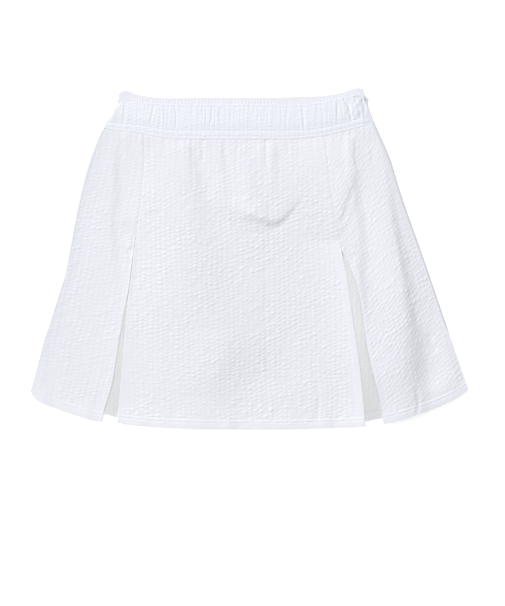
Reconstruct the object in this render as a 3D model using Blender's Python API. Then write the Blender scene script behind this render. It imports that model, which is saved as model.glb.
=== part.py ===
# A pull-on tennis skirt in white seersucker, laid flat on its back. The waist is gathered on elastic, the front
# is cut in three by two princess seams, and each seam opens at mid thigh in a slit over a pleat underlay.
#
# +X is to the right as seen, +Y towards the waist, +Z up from the surface that the skirt lies on. The tables
# and sizes below are in millimetres, and every mesh is made in metres.

import math
import random

import bmesh
import bpy
import numpy as np

MM = 0.001

# Walls, from the surface upwards
CLOTH = 1.4  # back, side and front panels
UNDERLAY_CLOTH = 1.3  # the strips that show in the slits
GAP = 0.3  # air between two pieces that are sewn or lie on each other
SIDE_GAP = 0.6  # air at a side seam, between the back's turned edge and the front
FRONT_REST = CLOTH + GAP + UNDERLAY_CLOTH + GAP  # underside of the front layer, where it has no fold
ROLL_RADIUS = FRONT_REST / 2  # middle of the wall, where the back turns up round the side
ROLL_REACH = ROLL_RADIUS + CLOTH / 2  # from the outline in to where the back lies flat

# Hems
HEM_DEPTH = 11.0  # turned up and stitched
HEM_EXTRA = 0.7  # what the turned layer adds to the wall
HEM_DROOP = 0.9  # the free edge hangs this far below the layer's rest height
DROOP_REACH = 4.0  # over this length
HEM_STEP = 0.1  # share of the hem's depth in which the turned layer ends
CORNER_DROP = 2.0  # the front's outer corners hang down past the back, which is drawn in under them
CORNER_REACH = 8.0  # over this distance from the outline
CORNER_LENGTH = 40.0  # and with this much cloth to start in
UNDERLAY_OVERLAP = 9.0  # the underlay runs this far under each edge of its slit
UNDERLAY_TOP = 16.0  # and this far above it

# Sides: the back turns up and over in a half round, unrolls above its hem and is drawn in under the front
ROLL_SEGMENTS = 4
UNROLL_START = 0.75  # share of the way down the back panel
UNROLL_LENGTH = 0.09
TUCK = 6.0
TUCK_START = -98.0
TUCK_LENGTH = 28.0
FRONT_REACH_START = -86.0  # where the front's edge starts to reach out to the outline
FRONT_REACH_LENGTH = 18.0
BACK_SEAM_GAP = 1.5  # air at the back's waist seam

# Points across and down each piece
FRONT_GRID = {"columns": 35, "rows": 30}
SIDE_LEFT_GRID = {"columns": 15, "rows": 28}
SIDE_RIGHT_GRID = {"columns": 21, "rows": 29}
BACK_GRID = {"columns": 13, "rows": 20}
UNDERLAY_GRID = {"columns": 5, "rows": 15}

# Waistband
GATHERS = 55
GATHER_HEIGHT = 1.0
GATHER_SIZES = (0.6, 1.25)  # the smallest and the largest, as shares of that height
GATHER_SPREAD = 0.35  # how much their widths differ
GATHER_SEEDS = {"width": 11, "size": 5}
RIBS = 75  # narrow ribs of the elastic on the inside of the back
RIB_HEIGHT = 0.5
RIB_FADE = 0.02  # share of the width at each side in which they die out
BACK_BAND_RISE = 9.0  # the back band's lower seam lies this much above the front's

# The garment's outline, read from the waist to the hem
LEFT_OUTLINE = {
    "y": (203, 198, 188, 176, 159, 121, 82, 44, 5, -14, -52, -91, -129, -160),
    "x": (-155.5, -156.5, -158, -165, -175, -191, -202, -210, -217, -220.5, -232, -244, -254, -262.5),
}
RIGHT_OUTLINE = {
    "y": (208, 200, 194, 182, 159, 121, 82, 44, 5, -33, -71, -110, -154),
    "x": (136, 138, 140.5, 143.5, 152.5, 169, 181, 194, 208, 221, 234, 247, 262.5),
}

# The princess seams, from the waistband down to the slits, and the two edges of each slit
LEFT_SEAM = {
    "y": (155, 111, 74, 26),
    "x": (-127, -126.5, -130, -136),
}
RIGHT_SEAM = {
    "y": (155, 109, 83, 38, 10),
    "x": (89.5, 95, 97.5, 106, 111),
}
LEFT_SLIT_SIDE = {
    "y": (26, 4, -16, -41, -64, -100, -154, -188, -197),
    "x": (-136, -139.1, -141.5, -144.9, -150, -157, -166, -176, -177.5),
}
LEFT_SLIT_FRONT = {
    "y": (26, 4, -16, -41, -68, -101, -151, -198),
    "x": (-136, -138.9, -141.2, -144.4, -146.9, -150, -154, -159),
}
RIGHT_SLIT_FRONT = {
    "y": (10, -17, -37, -85, -112, -145, -202),
    "x": (111, 116.5, 119, 126, 130, 134, 139),
}
RIGHT_SLIT_SIDE = {
    "y": (10, -7, -26, -46, -80, -112, -139, -165, -199),
    "x": (111, 119, 127.5, 133, 138.5, 144, 150, 156.5, 162),
}

# Lines across it: the waistband's edges and the hems
BAND_TOP = {
    "x": (-158, -127, -89, 0, 66, 85, 101, 113, 130, 140.5),
    "y": (188, 187, 185, 185, 185, 187, 190.5, 192.5, 196.5, 196),
}
BAND_LOW = {
    "x": (-176, -164, -143, -126, -106, -59, 0, 49, 85, 113, 133, 152.5),
    "y": (156.5, 154, 152, 149, 145, 143, 143, 143, 146, 152, 157.5, 161),
}
BACK_TOP = {
    "x": (-156.5, -152, -132, -116, -60, 60, 97, 112, 121, 133, 136),
    "y": (199.5, 201.5, 197, 194.5, 194, 195, 197, 200, 203, 205.3, 204.5),
}
SIDE_LEFT_HEM = {
    "x": (-262.5, -258, -247, -229, -208, -183, -177.5),
    "y": (-160, -167, -174, -181, -188, -195, -195.5),
}
FRONT_HEM = {
    "x": (-159, -143, -119, -90, -7, 61, 97, 139),
    "y": (-197.5, -199.5, -201.5, -203, -204.8, -204.2, -203, -201),
}
SIDE_RIGHT_HEM = {
    "x": (162, 178, 202, 232, 253, 262.5),
    "y": (-198.5, -194.5, -187, -176, -165, -158),
}
BACK_HEM = {
    "x": (-256, -230, -180, -90, 0, 90, 160, 225, 256),
    "y": (-148, -164, -180, -191, -194, -192, -185, -166, -147),
}
LEFT_UNDERLAY_HEM = {"x": (-190, -174, -160, -146), "y": (-184, -186, -190, -192)}
RIGHT_UNDERLAY_HEM = {"x": (126, 140, 158, 172), "y": (-197, -195, -191.5, -189)}

# The side seams lie on the front, this far inside the outline
SEAM_STRIP = {"y": (196, 172, 150, 120, 63, 5, -200), "width": (3.4, 3.8, 4.8, 5, 4.4, 3.2, 3.2)}

# Folds of the front layer. Each follows a crest down the skirt, with its height and the width of each flank.
FOLDS = (
    {  # right side panel, the main ridge, which falls steeply into a trough on its right
        "y": (140, 118, 100, 75, 38, -7, -43, -80, -110, -137, -170, -202),
        "x": (154, 159, 162, 165, 169, 176, 184, 185, 181, 181, 192, 198),
        "height": (0, 0.9, 1.5, 2.3, 3.2, 3.9, 4.4, 4.7, 4.8, 4.4, 2.8, 1.8),
        "left": (40, 50, 56, 58, 58, 56, 56, 56, 54, 50, 44, 40),
        "right": (16, 16, 16, 16, 17, 19, 21, 26, 34, 35, 18, 10),
    },
    {  # its slower fall towards the side seam
        "y": (140, 110, 75, 38, -7, -43, -80, -110),
        "x": (150, 158, 164, 170, 178, 186, 190, 192),
        "height": (0, 0.5, 1.0, 1.6, 2.0, 2.0, 1.4, 0),
        "left": (30, 40, 48, 48, 46, 48, 48, 44),
        "right": (20, 24, 28, 32, 38, 42, 46, 46),
    },
    {  # the low ridge on the far side of that trough
        "y": (-70, -95, -128, -170, -200),
        "x": (228, 232, 240, 238, 236),
        "height": (0, 0.8, 1.2, 1.1, 0.8),
        "left": (14, 18, 22, 26, 26),
        "right": (14, 18, 22, 26, 28),
    },
    {  # right side panel, the edge of the slit, which stands off the layers below
        "y": (12, -10, -40, -75, -112, -139, -165, -200),
        "x": (110, 121, 134, 142, 149, 155, 161, 167),
        "height": (0, 1.5, 2.1, 2.2, 2.1, 1.9, 1.5, 0.8),
        "left": (8, 9, 10, 11, 12, 13, 14, 15),
        "right": (10, 16, 34, 52, 60, 60, 56, 50),
    },
    {  # right side panel, a step from the band that slants towards the slit
        "y": (150, 139, 120, 98, 70, 40),
        "x": (119, 120.5, 123, 124, 115, 106),
        "height": (0, 0.9, 1.4, 1.6, 1.3, 0),
        "left": (70, 90, 100, 100, 90, 70),
        "right": (9, 9, 9, 10, 10, 11),
    },
    {  # and a soft one that runs on below it
        "y": (105, 85, 50, 20, -30, -80),
        "x": (130, 131, 134, 138, 143, 148),
        "height": (0, 0.5, 0.7, 0.6, 0.4, 0),
        "left": (36, 40, 44, 44, 40, 36),
        "right": (10, 11, 12, 13, 14, 14),
    },
    {
        "y": (152, 138, 122, 104),
        "x": (140, 141, 142, 143),
        "height": (0, 0.6, 0.6, 0),
        "left": (28, 30, 32, 32),
        "right": (8, 8, 9, 9),
    },
    {  # left side panel, a soft trough below the band, steep on its left
        "y": (146, 134, 110, 80, 60, 46),
        "x": (-159, -159, -159, -158, -158, -158),
        "height": (0, -0.9, -1.2, -1.0, -0.5, 0),
        "left": (8, 9, 9, 10, 10, 11),
        "right": (50, 60, 60, 44, 30, 20),
    },
    {  # and the step that carries it on towards the slit
        "y": (76, 50, 20, -10, -50),
        "x": (-168, -168, -167, -166, -163),
        "height": (0, 0.7, 0.8, 0.5, 0),
        "left": (40, 42, 44, 44, 40),
        "right": (10, 10, 11, 12, 14),
    },
    {  # front panel, the long soft ridge on the left, which falls towards the middle
        "y": (150, 130, 110, 60, 10, -50, -110),
        "x": (-77, -77, -76, -77, -78, -76, -70),
        "height": (0, 1.1, 1.5, 2.0, 2.2, 1.8, 0),
        "left": (36, 50, 60, 70, 78, 80, 76),
        "right": (9, 11, 15, 34, 56, 64, 64),
    },
    {  # and the broad one below it, which falls to the right and towards the hem
        "y": (40, 0, -50, -80, -103, -130, -150, -168, -184, -204),
        "x": (-66, -62, -52, -44, -37, -42, -50, -55, -57, -58),
        "height": (0, 0.7, 1.3, 1.7, 2.0, 2.0, 1.7, 1.3, 1.1, 0.9),
        "left": (60, 76, 90, 98, 104, 102, 98, 90, 84, 80),
        "right": (40, 52, 64, 70, 74, 74, 66, 52, 44, 42),
    },
    {  # which is steepest close to its crest
        "y": (-86, -104, -130, -150, -166),
        "x": (-34, -33, -41, -50, -56),
        "height": (0, 0.8, 1.1, 0.9, 0),
        "left": (60, 90, 98, 94, 80),
        "right": (22, 28, 32, 30, 26),
    },
    {  # and the trough on its right
        "y": (0, -60, -103, -130, -150, -168, -192),
        "x": (26, 30, 34, 32, 26, 20, 16),
        "height": (0, -0.7, -1.3, -1.4, -1.3, -0.7, 0),
        "left": (60, 66, 72, 74, 74, 64, 56),
        "right": (60, 70, 76, 80, 80, 70, 60),
    },
    {
        "y": (144, 120, 85, 50),
        "x": (-39, -36, -33, -31),
        "height": (0, 0.8, 0.8, 0),
        "left": (16, 20, 22, 22),
        "right": (8, 10, 12, 16),
    },
    {  # front panel, the crease beside the short bulge
        "y": (147, 130, 108, 92),
        "x": (19, 19, 18, 17),
        "height": (0, 0.9, 0.8, 0),
        "left": (22, 24, 26, 26),
        "right": (7, 7, 8, 9),
    },
    {  # and the dent at its lower left
        "y": (112, 92, 78, 64, 48),
        "x": (6, 8, 8, 10, 18),
        "height": (0, 1.0, 2.1, 2.3, 0),
        "left": (44, 52, 56, 52, 44),
        "right": (15, 17, 20, 19, 14),
    },
    {  # front panel, the low rise along its right
        "y": (70, 10, -60, -130, -206),
        "x": (84, 86, 88, 92, 96),
        "height": (0, 0.8, 1.1, 1.1, 0.8),
        "left": (50, 60, 66, 66, 60),
        "right": (50, 56, 60, 60, 60),
    },
)
OUTLINE_FADE = 11.0  # folds die out over this distance from the outline
BAND_FADE = 10.0  # and below the waistband's stitching
FOLD_END = 6.0  # and this far below the last row of their table

# The bulge below the band on the front panel, which ends in a pointed crease
BULGE = {
    "point": (31.0, 38.5),
    "climb": (0.9, 0.98),  # of the crease to the left and to the right of its point
    "crest": 35.0,
    "flanks": (40.0, 52.0),
    "height": 2.8,
    "fall": 11.0,  # how short the steep side is
    "top": 150.0,
    "blunt": 10.0,
}

# Waistband section, from its top edge to its lower seam
FRONT_BAND_SECTION = {
    "share": (0, 0.06, 0.3, 0.58, 0.72, 0.78, 1),
    "wall": (1.5, 2.4, 2.8, 2.5, 1.7, 1.7, 1.5),
    "gather": (0.35, 0.7, 1.0, 0.85, 0.3, 0.2, 0.15),
}
BACK_BAND_SECTION = {
    "share": (0, 0.05, 0.34, 0.67, 1),
    "rib": (0.4, 1, 1, 0.7, 0.3),
    "turn": (0.3, 0.42, 1, 1, 1),
}


def through(stations, values):
    """A smooth function through the values, given at rising or falling stations."""
    stations = np.asarray(stations, float)
    values = np.asarray(values, float)
    if stations[0] > stations[-1]:
        stations = stations[::-1]
        values = values[::-1]
    slopes = np.gradient(values, stations)

    def at(place):
        place = np.clip(np.asarray(place, float), stations[0], stations[-1])
        left = np.clip(np.searchsorted(stations, place) - 1, 0, len(stations) - 2)
        step = stations[left + 1] - stations[left]
        t = (place - stations[left]) / step
        rise = values[left + 1] - values[left]
        linear = values[left] + rise * t
        bend = t * (1 - t) * ((slopes[left] * step - rise) * (1 - t) - (slopes[left + 1] * step - rise) * t)
        return linear + bend

    return at


def ease(t):
    """From 0 to 1 with level ends."""
    t = np.clip(t, 0, 1)
    return t * t * (3 - 2 * t)


def hump(distance, width):
    """1 at the middle and 0 from the width outwards."""
    return 0.5 + 0.5 * np.cos(math.pi * np.clip(np.abs(distance) / width, 0, 1))


def edge_x(table):
    return through(table["y"], table["x"])


def line_y(table):
    return through(table["x"], table["y"])


def seam_then_slit(seam, slit):
    """A panel's inner edge: the princess seam, and below it one edge of the slit."""
    above = edge_x(seam)
    below = edge_x(slit)
    return lambda y: np.where(y > slit["y"][0], above(y), below(y))


left_outline = edge_x(LEFT_OUTLINE)
right_outline = edge_x(RIGHT_OUTLINE)
seam_strip = through(SEAM_STRIP["y"], SEAM_STRIP["width"])
band_low = line_y(BAND_LOW)
side_left_inner = seam_then_slit(LEFT_SEAM, LEFT_SLIT_SIDE)
front_left = seam_then_slit(LEFT_SEAM, LEFT_SLIT_FRONT)
front_right = seam_then_slit(RIGHT_SEAM, RIGHT_SLIT_FRONT)
side_right_inner = seam_then_slit(RIGHT_SEAM, RIGHT_SLIT_SIDE)


def meeting(x_of_y, y_of_x):
    """The height y at which an edge that runs down meets a line that runs across."""
    y = 0.0
    for _ in range(30):
        y = float(y_of_x(x_of_y(y)))
    return y


def down_edge(x_of_y, top_line, low_line):
    """An edge between two lines across, as points at a share of the way down."""
    y_top = meeting(x_of_y, top_line)
    y_low = meeting(x_of_y, low_line)

    def at(share):
        y = y_top + (y_low - y_top) * np.asarray(share, float)
        return np.stack([x_of_y(y), y], axis=-1)

    return at


def across_line(y_of_x, start, end):
    """A line across between two side edges' ends, as points at a share of the way."""

    def at(share):
        x = start[0] + (end[0] - start[0]) * np.asarray(share, float)
        return np.stack([x, y_of_x(x)], axis=-1)

    return at


def patch(left_x, right_x, top_line, low_line, across, down):
    """Points (rows x columns x 2) of a panel between two edges down and two lines across."""
    left = down_edge(left_x, top_line, low_line)
    right = down_edge(right_x, top_line, low_line)
    top = across_line(top_line, left(0), right(0))
    low = across_line(low_line, left(1), right(1))
    u = across[None, :, None]
    v = down[:, None, None]
    sides = (1 - u) * left(down)[:, None, :] + u * right(down)[:, None, :]
    ends = (1 - v) * top(across)[None] + v * low(across)[None]
    corners = (1 - v) * ((1 - u) * left(0) + u * right(0)) + v * ((1 - u) * left(1) + u * right(1))
    return sides + ends - corners


def fold_height(x, y):
    """Height of the front layer above its rest, from every fold that passes a point."""
    total = np.zeros(np.broadcast(x, y).shape)
    for fold in FOLDS:
        from_crest = x - through(fold["y"], fold["x"])(y)
        flank = np.where(from_crest < 0, through(fold["y"], fold["left"])(y), through(fold["y"], fold["right"])(y))
        inside = (y < fold["y"][0]) & (y > fold["y"][-1] - FOLD_END)
        total += np.where(inside, through(fold["y"], fold["height"])(y) * hump(from_crest, flank), 0)
    total += bulge_height(x, y)
    from_side = np.minimum(x - left_outline(y), right_outline(y) - x)
    return total * ease(from_side / OUTLINE_FADE) * ease((band_low(x) - y) / BAND_FADE)


def bulge_height(x, y):
    """The bulge rises steeply behind a crease in the form of a blunt V, and dies out towards the band."""
    aside = x - BULGE["point"][0]
    climb = np.where(aside < 0, BULGE["climb"][0], BULGE["climb"][1])
    above = y - BULGE["point"][1] - climb * (np.sqrt(aside**2 + BULGE["blunt"] ** 2) - BULGE["blunt"])
    upwards = ease((BULGE["top"] - y) / (BULGE["top"] - BULGE["point"][1]))
    from_crest = x - BULGE["crest"]
    flank = np.where(from_crest < 0, *BULGE["flanks"])
    return BULGE["height"] * ease(above / BULGE["fall"]) * upwards * hump(from_crest, flank)


def finish_material(name, colour, roughness):
    material = bpy.data.materials.new(name)
    material.use_nodes = True
    shader = material.node_tree.nodes["Principled BSDF"]
    shader.inputs["Base Color"].default_value = (*colour, 1)
    shader.inputs["Roughness"].default_value = roughness
    shader.inputs["Metallic"].default_value = 0.0
    material.diffuse_color = (*colour, 1)
    return material


def wall(name, under, over, material):
    """A closed wall between two grids of points (rows x columns x 3) that match point for point."""
    rows, columns = under.shape[:2]
    bm = bmesh.new()
    bmesh.ops.create_grid(bm, x_segments=columns - 1, y_segments=rows - 1, size=1)
    place = bm.verts.layers.int.new("place")
    for vert in bm.verts:
        column = round((vert.co.x + 1) / 2 * (columns - 1))
        row = round((1 - vert.co.y) / 2 * (rows - 1))
        vert[place] = row * columns + column
        vert.co = under[row, column] * MM
    raised = bmesh.ops.extrude_face_region(bm, geom=bm.faces[:], use_keep_orig=True)
    for vert in raised["geom"]:
        if isinstance(vert, bmesh.types.BMVert):
            vert.co = over[divmod(vert[place], columns)] * MM
    bmesh.ops.recalc_face_normals(bm, faces=bm.faces)
    mesh = bpy.data.meshes.new(name)
    bm.to_mesh(mesh)
    bm.free()
    mesh.shade_smooth()
    mesh.set_sharp_from_angle(angle=math.radians(55))
    mesh.materials.append(material)
    piece = bpy.data.objects.new(name, mesh)
    bpy.context.scene.collection.objects.link(piece)
    piece.parent = garment
    return piece


def panel_levels(count, length):
    """Shares of the way down a panel, with close rows where the turned hem starts and where its edge droops."""
    hem_share = HEM_DEPTH / length
    body = np.linspace(0, 1 - hem_share, count)
    return np.r_[body, body[-1] + HEM_STEP * hem_share, 1 - DROOP_REACH / length, 1]


def front_layer_panel(name, left_x, right_x, hem_line, grid, material):
    """One panel of the front layer: it lies on the layers below, rises in folds and has a turned hem."""
    top_line = lambda x: band_low(x) - GAP
    length = (meeting(left_x, top_line) - meeting(left_x, hem_line)) / 2
    length += (meeting(right_x, top_line) - meeting(right_x, hem_line)) / 2
    down = panel_levels(grid["rows"], length)
    xy = patch(left_x, right_x, top_line, hem_line, np.linspace(0, 1, grid["columns"]), down)
    x = xy[..., 0]
    y = xy[..., 1]
    above_hem = (1 - down[:, None]) * length
    from_side = np.minimum(x - left_outline(y), right_outline(y) - x)
    corner_share = ease((TUCK_START - y) / CORNER_LENGTH) * (1 - ease(from_side / CORNER_REACH))
    hem_drop = HEM_DROOP * (1 - ease(above_hem / DROOP_REACH))
    z = FRONT_REST + fold_height(x, y) - CORNER_DROP * corner_share - hem_drop
    thickness = CLOTH + np.where(above_hem < HEM_DEPTH * (1 - HEM_STEP / 2), HEM_EXTRA, 0)
    under = np.dstack([x, y, z])
    over = np.dstack([x, y, z + thickness])
    return wall(name, under, over, material)


def back_layer_piece(name, top_line, low_line, across, down, turn, rib, material):
    """A back piece: flat on the surface, with both sides turned up and over to meet the front at its seams.

    turn holds the share of the half turn at each row, and rib the height of the inner face, rows x columns."""
    flat = patch(
        lambda y: left_outline(y) + ROLL_REACH + TUCK * ease((TUCK_START - y) / TUCK_LENGTH),
        lambda y: right_outline(y) - ROLL_REACH - TUCK * ease((TUCK_START - y) / TUCK_LENGTH),
        top_line,
        low_line,
        across,
        down,
    )
    arc_shares = np.linspace(0, 1, ROLL_SEGMENTS + 1)[1:]
    middle_rows = []
    normal_rows = []
    for points, row_turn in zip(flat, turn):
        angles = math.pi * row_turn * arc_shares
        lean = np.r_[angles, angles[-1]]
        side_points = []
        side_normals = []
        for edge, neighbour in ((points[0], points[1]), (points[-1], points[-2])):
            outward = (edge - neighbour) / np.linalg.norm(edge - neighbour)
            strip = (seam_strip(edge[1]) - ROLL_REACH - SIDE_GAP) * row_turn
            reach = ROLL_RADIUS * np.sin(lean)
            rise = ROLL_RADIUS * (1 - np.cos(lean))
            reach[-1] += strip * math.cos(angles[-1])
            rise[-1] += strip * math.sin(angles[-1])
            side_points.append(np.column_stack([edge + reach[:, None] * outward, CLOTH / 2 + rise]))
            side_normals.append(np.column_stack([np.sin(lean)[:, None] * outward, -np.cos(lean)]))
        middle = np.column_stack([points, np.full(len(points), CLOTH / 2)])
        straight = np.tile([0.0, 0.0, -1.0], (len(points), 1))
        middle_rows.append(np.vstack([side_points[0][::-1], middle, side_points[1]]))
        normal_rows.append(np.vstack([side_normals[0][::-1], straight, side_normals[1]]))
    middle_rows = np.array(middle_rows)
    normal_rows = np.array(normal_rows)
    outer = middle_rows + normal_rows * CLOTH / 2
    inner = middle_rows - normal_rows * CLOTH / 2
    turned = ROLL_SEGMENTS + 1
    inner[:, turned:-turned, 2] += rib
    return wall(name, outer, inner, material)


def uneven_steps(count, spread, seed):
    """Rising shares from 0 to 1 whose steps differ by up to the spread."""
    pick = random.Random(seed)
    steps = np.array([1 + pick.uniform(-spread, spread) for _ in range(count)])
    return np.r_[0, np.cumsum(steps)] / steps.sum()


def build_front_band(material):
    """The gathered front of the waistband: elastic in its casing, with a flat stitched zone below."""
    down = np.array(FRONT_BAND_SECTION["share"])
    across = uneven_steps(2 * GATHERS, GATHER_SPREAD, GATHER_SEEDS["width"])
    left = lambda y: left_outline(y) + seam_strip(y)
    right = lambda y: right_outline(y) - seam_strip(y)
    xy = patch(left, right, line_y(BAND_TOP), band_low, across, down)
    pick = random.Random(GATHER_SEEDS["size"])
    crests = np.array([pick.uniform(*GATHER_SIZES) if column % 2 else 0.0 for column in range(len(across))])
    gathers = GATHER_HEIGHT * np.outer(FRONT_BAND_SECTION["gather"], crests)
    thickness = np.array(FRONT_BAND_SECTION["wall"])[:, None] + gathers
    rest = np.full(thickness.shape, FRONT_REST)
    under = np.dstack([xy, rest])
    over = np.dstack([xy, rest + thickness])
    return wall("waistband_front", under, over, material)


def back_band_low(x):
    """The back's waist seam, hidden, which rises above the front's between the sides."""
    middle = np.sin(math.pi * np.clip((x - BAND_LOW["x"][0]) / (BAND_LOW["x"][-1] - BAND_LOW["x"][0]), 0, 1))
    return band_low(x) + BACK_BAND_RISE * middle


def build_back_band(material):
    """The back of the waistband: its ribbed inner face stands above the front's top edge."""
    down = np.array(BACK_BAND_SECTION["share"])
    across = np.linspace(0, 1, 2 * RIBS + 1)
    ribs = np.array([RIB_HEIGHT if column % 2 else 0.0 for column in range(len(across))])
    fade = ease(np.minimum(across, 1 - across) / RIB_FADE)
    rib = np.outer(BACK_BAND_SECTION["rib"], ribs * fade)
    turn = np.array(BACK_BAND_SECTION["turn"])
    return back_layer_piece(
        "waistband_back", line_y(BACK_TOP), back_band_low, across, down, turn, rib, material
    )


def build_back_panel(material):
    """The whole back, hidden but for the strip at each side that comes over to the side seam."""
    down = np.linspace(0, 1, BACK_GRID["rows"])
    across = np.linspace(0, 1, BACK_GRID["columns"])
    turn = 1 - ease((down - UNROLL_START) / UNROLL_LENGTH)
    rib = np.zeros((len(down), len(across)))
    top_line = lambda x: back_band_low(x) - BACK_SEAM_GAP
    return back_layer_piece("back_panel", top_line, line_y(BACK_HEM), across, down, turn, rib, material)


def build_side_panels(material):
    def strip_at(y):
        """The side seam lies inside the outline, and reaches it in the last stretch above the hem."""
        return seam_strip(y) * (1 - ease((FRONT_REACH_START - y) / FRONT_REACH_LENGTH))

    front_layer_panel(
        "side_panel_left",
        lambda y: left_outline(y) + strip_at(y),
        lambda y: side_left_inner(y) - GAP / 2,
        line_y(SIDE_LEFT_HEM),
        SIDE_LEFT_GRID,
        material,
    )
    front_layer_panel(
        "side_panel_right",
        lambda y: side_right_inner(y) + GAP / 2,
        lambda y: right_outline(y) - strip_at(y),
        line_y(SIDE_RIGHT_HEM),
        SIDE_RIGHT_GRID,
        material,
    )


def build_front_panel(material):
    front_layer_panel(
        "front_panel",
        lambda y: front_left(y) + GAP / 2,
        lambda y: front_right(y) - GAP / 2,
        line_y(FRONT_HEM),
        FRONT_GRID,
        material,
    )


def build_underlay(name, left_x, right_x, slit_top, hem, material):
    """The strip that shows in a slit. It runs under both edges, and its hem is the shortest of all."""
    y_top = slit_top + UNDERLAY_TOP
    xy = patch(
        lambda y: left_x(y) - UNDERLAY_OVERLAP,
        lambda y: right_x(y) + UNDERLAY_OVERLAP,
        lambda x: y_top + 0 * x,
        line_y(hem),
        np.linspace(0, 1, UNDERLAY_GRID["columns"]),
        np.linspace(0, 1, UNDERLAY_GRID["rows"]),
    )
    rest = np.full(xy.shape[:2], CLOTH + GAP)
    under = np.dstack([xy, rest])
    over = np.dstack([xy, rest + UNDERLAY_CLOTH])
    return wall(name, under, over, material)


for old in list(bpy.data.objects):
    bpy.data.objects.remove(old)

garment = bpy.data.objects.new("tennis_skirt", None)
bpy.context.scene.collection.objects.link(garment)

seersucker = finish_material("seersucker", (0.86, 0.87, 0.91), 0.85)
underlay_cloth = finish_material("underlay_cloth", (0.80, 0.80, 0.80), 0.9)
band_cloth = finish_material("band_cloth", (0.87, 0.88, 0.92), 0.85)
band_inside = finish_material("band_inside", (0.88, 0.88, 0.91), 0.8)

build_back_panel(seersucker)
build_side_panels(seersucker)
build_front_panel(seersucker)
build_underlay(
    "pleat_underlay_left", side_left_inner, front_left, LEFT_SEAM["y"][-1], LEFT_UNDERLAY_HEM, underlay_cloth
)
build_underlay(
    "pleat_underlay_right", front_right, side_right_inner, RIGHT_SEAM["y"][-1], RIGHT_UNDERLAY_HEM, underlay_cloth
)
build_front_band(band_cloth)
build_back_band(band_inside)

# The origin is under the middle of the garment's box
bpy.context.view_layer.update()
points = np.array([v.co for o in bpy.data.objects if o.type == "MESH" for v in o.data.vertices])
low = points.min(axis=0)
high = points.max(axis=0)
garment.location = (-(low[0] + high[0]) / 2, -(low[1] + high[1]) / 2, -low[2])
print("moved by", [round(float(c) / MM, 3) for c in garment.location], "mm")
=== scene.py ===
# A pull-on tennis skirt in white seersucker, laid flat on its back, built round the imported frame
# Sizes and tables are in millimetres and meshes in metres
# +X is right as seen, +Y towards the waist, +Z up
import math

import bmesh
import bpy
import numpy as np
from mathutils import Matrix, Vector


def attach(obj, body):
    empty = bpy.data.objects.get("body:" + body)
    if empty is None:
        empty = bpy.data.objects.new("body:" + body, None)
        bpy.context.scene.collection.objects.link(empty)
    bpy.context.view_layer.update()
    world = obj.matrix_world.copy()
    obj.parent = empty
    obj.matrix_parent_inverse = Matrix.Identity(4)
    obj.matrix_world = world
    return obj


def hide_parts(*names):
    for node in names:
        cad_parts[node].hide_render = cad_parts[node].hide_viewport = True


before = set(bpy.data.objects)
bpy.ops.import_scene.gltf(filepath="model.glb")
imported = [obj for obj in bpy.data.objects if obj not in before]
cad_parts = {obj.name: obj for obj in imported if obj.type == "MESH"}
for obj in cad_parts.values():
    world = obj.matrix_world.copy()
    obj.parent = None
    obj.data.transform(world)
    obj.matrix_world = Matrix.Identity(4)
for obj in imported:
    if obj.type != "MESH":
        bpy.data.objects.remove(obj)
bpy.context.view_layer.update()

mm = 0.001
frameShift = np.array([0.0, -0.297, 0.0])  # the tables' zero to the middle of the garment's box

print("camera and light")

view = {
    "centre": (4.2, -53.7),  # of the picture, on the surface
    "height": 727.0,  # of the picture, where the cloth lies
    "lens": 100.0,
    "sensor": 36.0,
    "clothLevel": 5.0,
}
light = {
    "sky": 0.57,
    "skyColour": (0.985, 0.99, 1.0),
    "power": 650.0,  # watts
    "colour": (1.0, 0.995, 0.985),
    "from": (-1.0, 0.95, 1.05),
    "distance": 8.0,  # metres, so that the far corner is only a little dimmer
    "breadth": 8.5,  # metres, a large round soft box
}
floorLook = {
    "size": 40.0,  # metres
    "below": 0.0002,  # metres, so that it doesn't share the back's surface
    "colour": (0.93, 0.93, 0.93),
    "roughness": 0.9,
    "glow": 0.4,  # lifts the floor to paper white
}

cameraData = bpy.data.cameras.new("camera")
cameraData.lens = view["lens"]
cameraData.sensor_width = view["sensor"]
distance = view["height"] * view["lens"] / view["sensor"] + view["clothLevel"]
cameraObject = bpy.data.objects.new("camera", cameraData)
cameraObject.location = Vector((*view["centre"], distance)) * mm
bpy.context.scene.collection.objects.link(cameraObject)
bpy.context.scene.camera = cameraObject
bpy.context.scene.view_settings.view_transform = "Standard"

world = bpy.data.worlds.new("studio")
world.use_nodes = True
sky = world.node_tree.nodes["Background"]
sky.inputs["Color"].default_value = (*light["skyColour"], 1)
sky.inputs["Strength"].default_value = light["sky"]
bpy.context.scene.world = world

softboxData = bpy.data.lights.new("softbox", "AREA")
softboxData.shape = "DISK"
softboxData.size = light["breadth"]
softboxData.energy = light["power"]
softboxData.color = light["colour"]
softbox = bpy.data.objects.new("softbox", softboxData)
softbox.location = Vector(light["from"]).normalized() * light["distance"]
softbox.rotation_mode = "QUATERNION"
softbox.rotation_quaternion = Vector(light["from"]).to_track_quat("Z", "Y")
softbox.visible_camera = False
bpy.context.scene.collection.objects.link(softbox)


# Shader expressions: a Value is one output of a node, and + - * on Values add Math nodes

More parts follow.
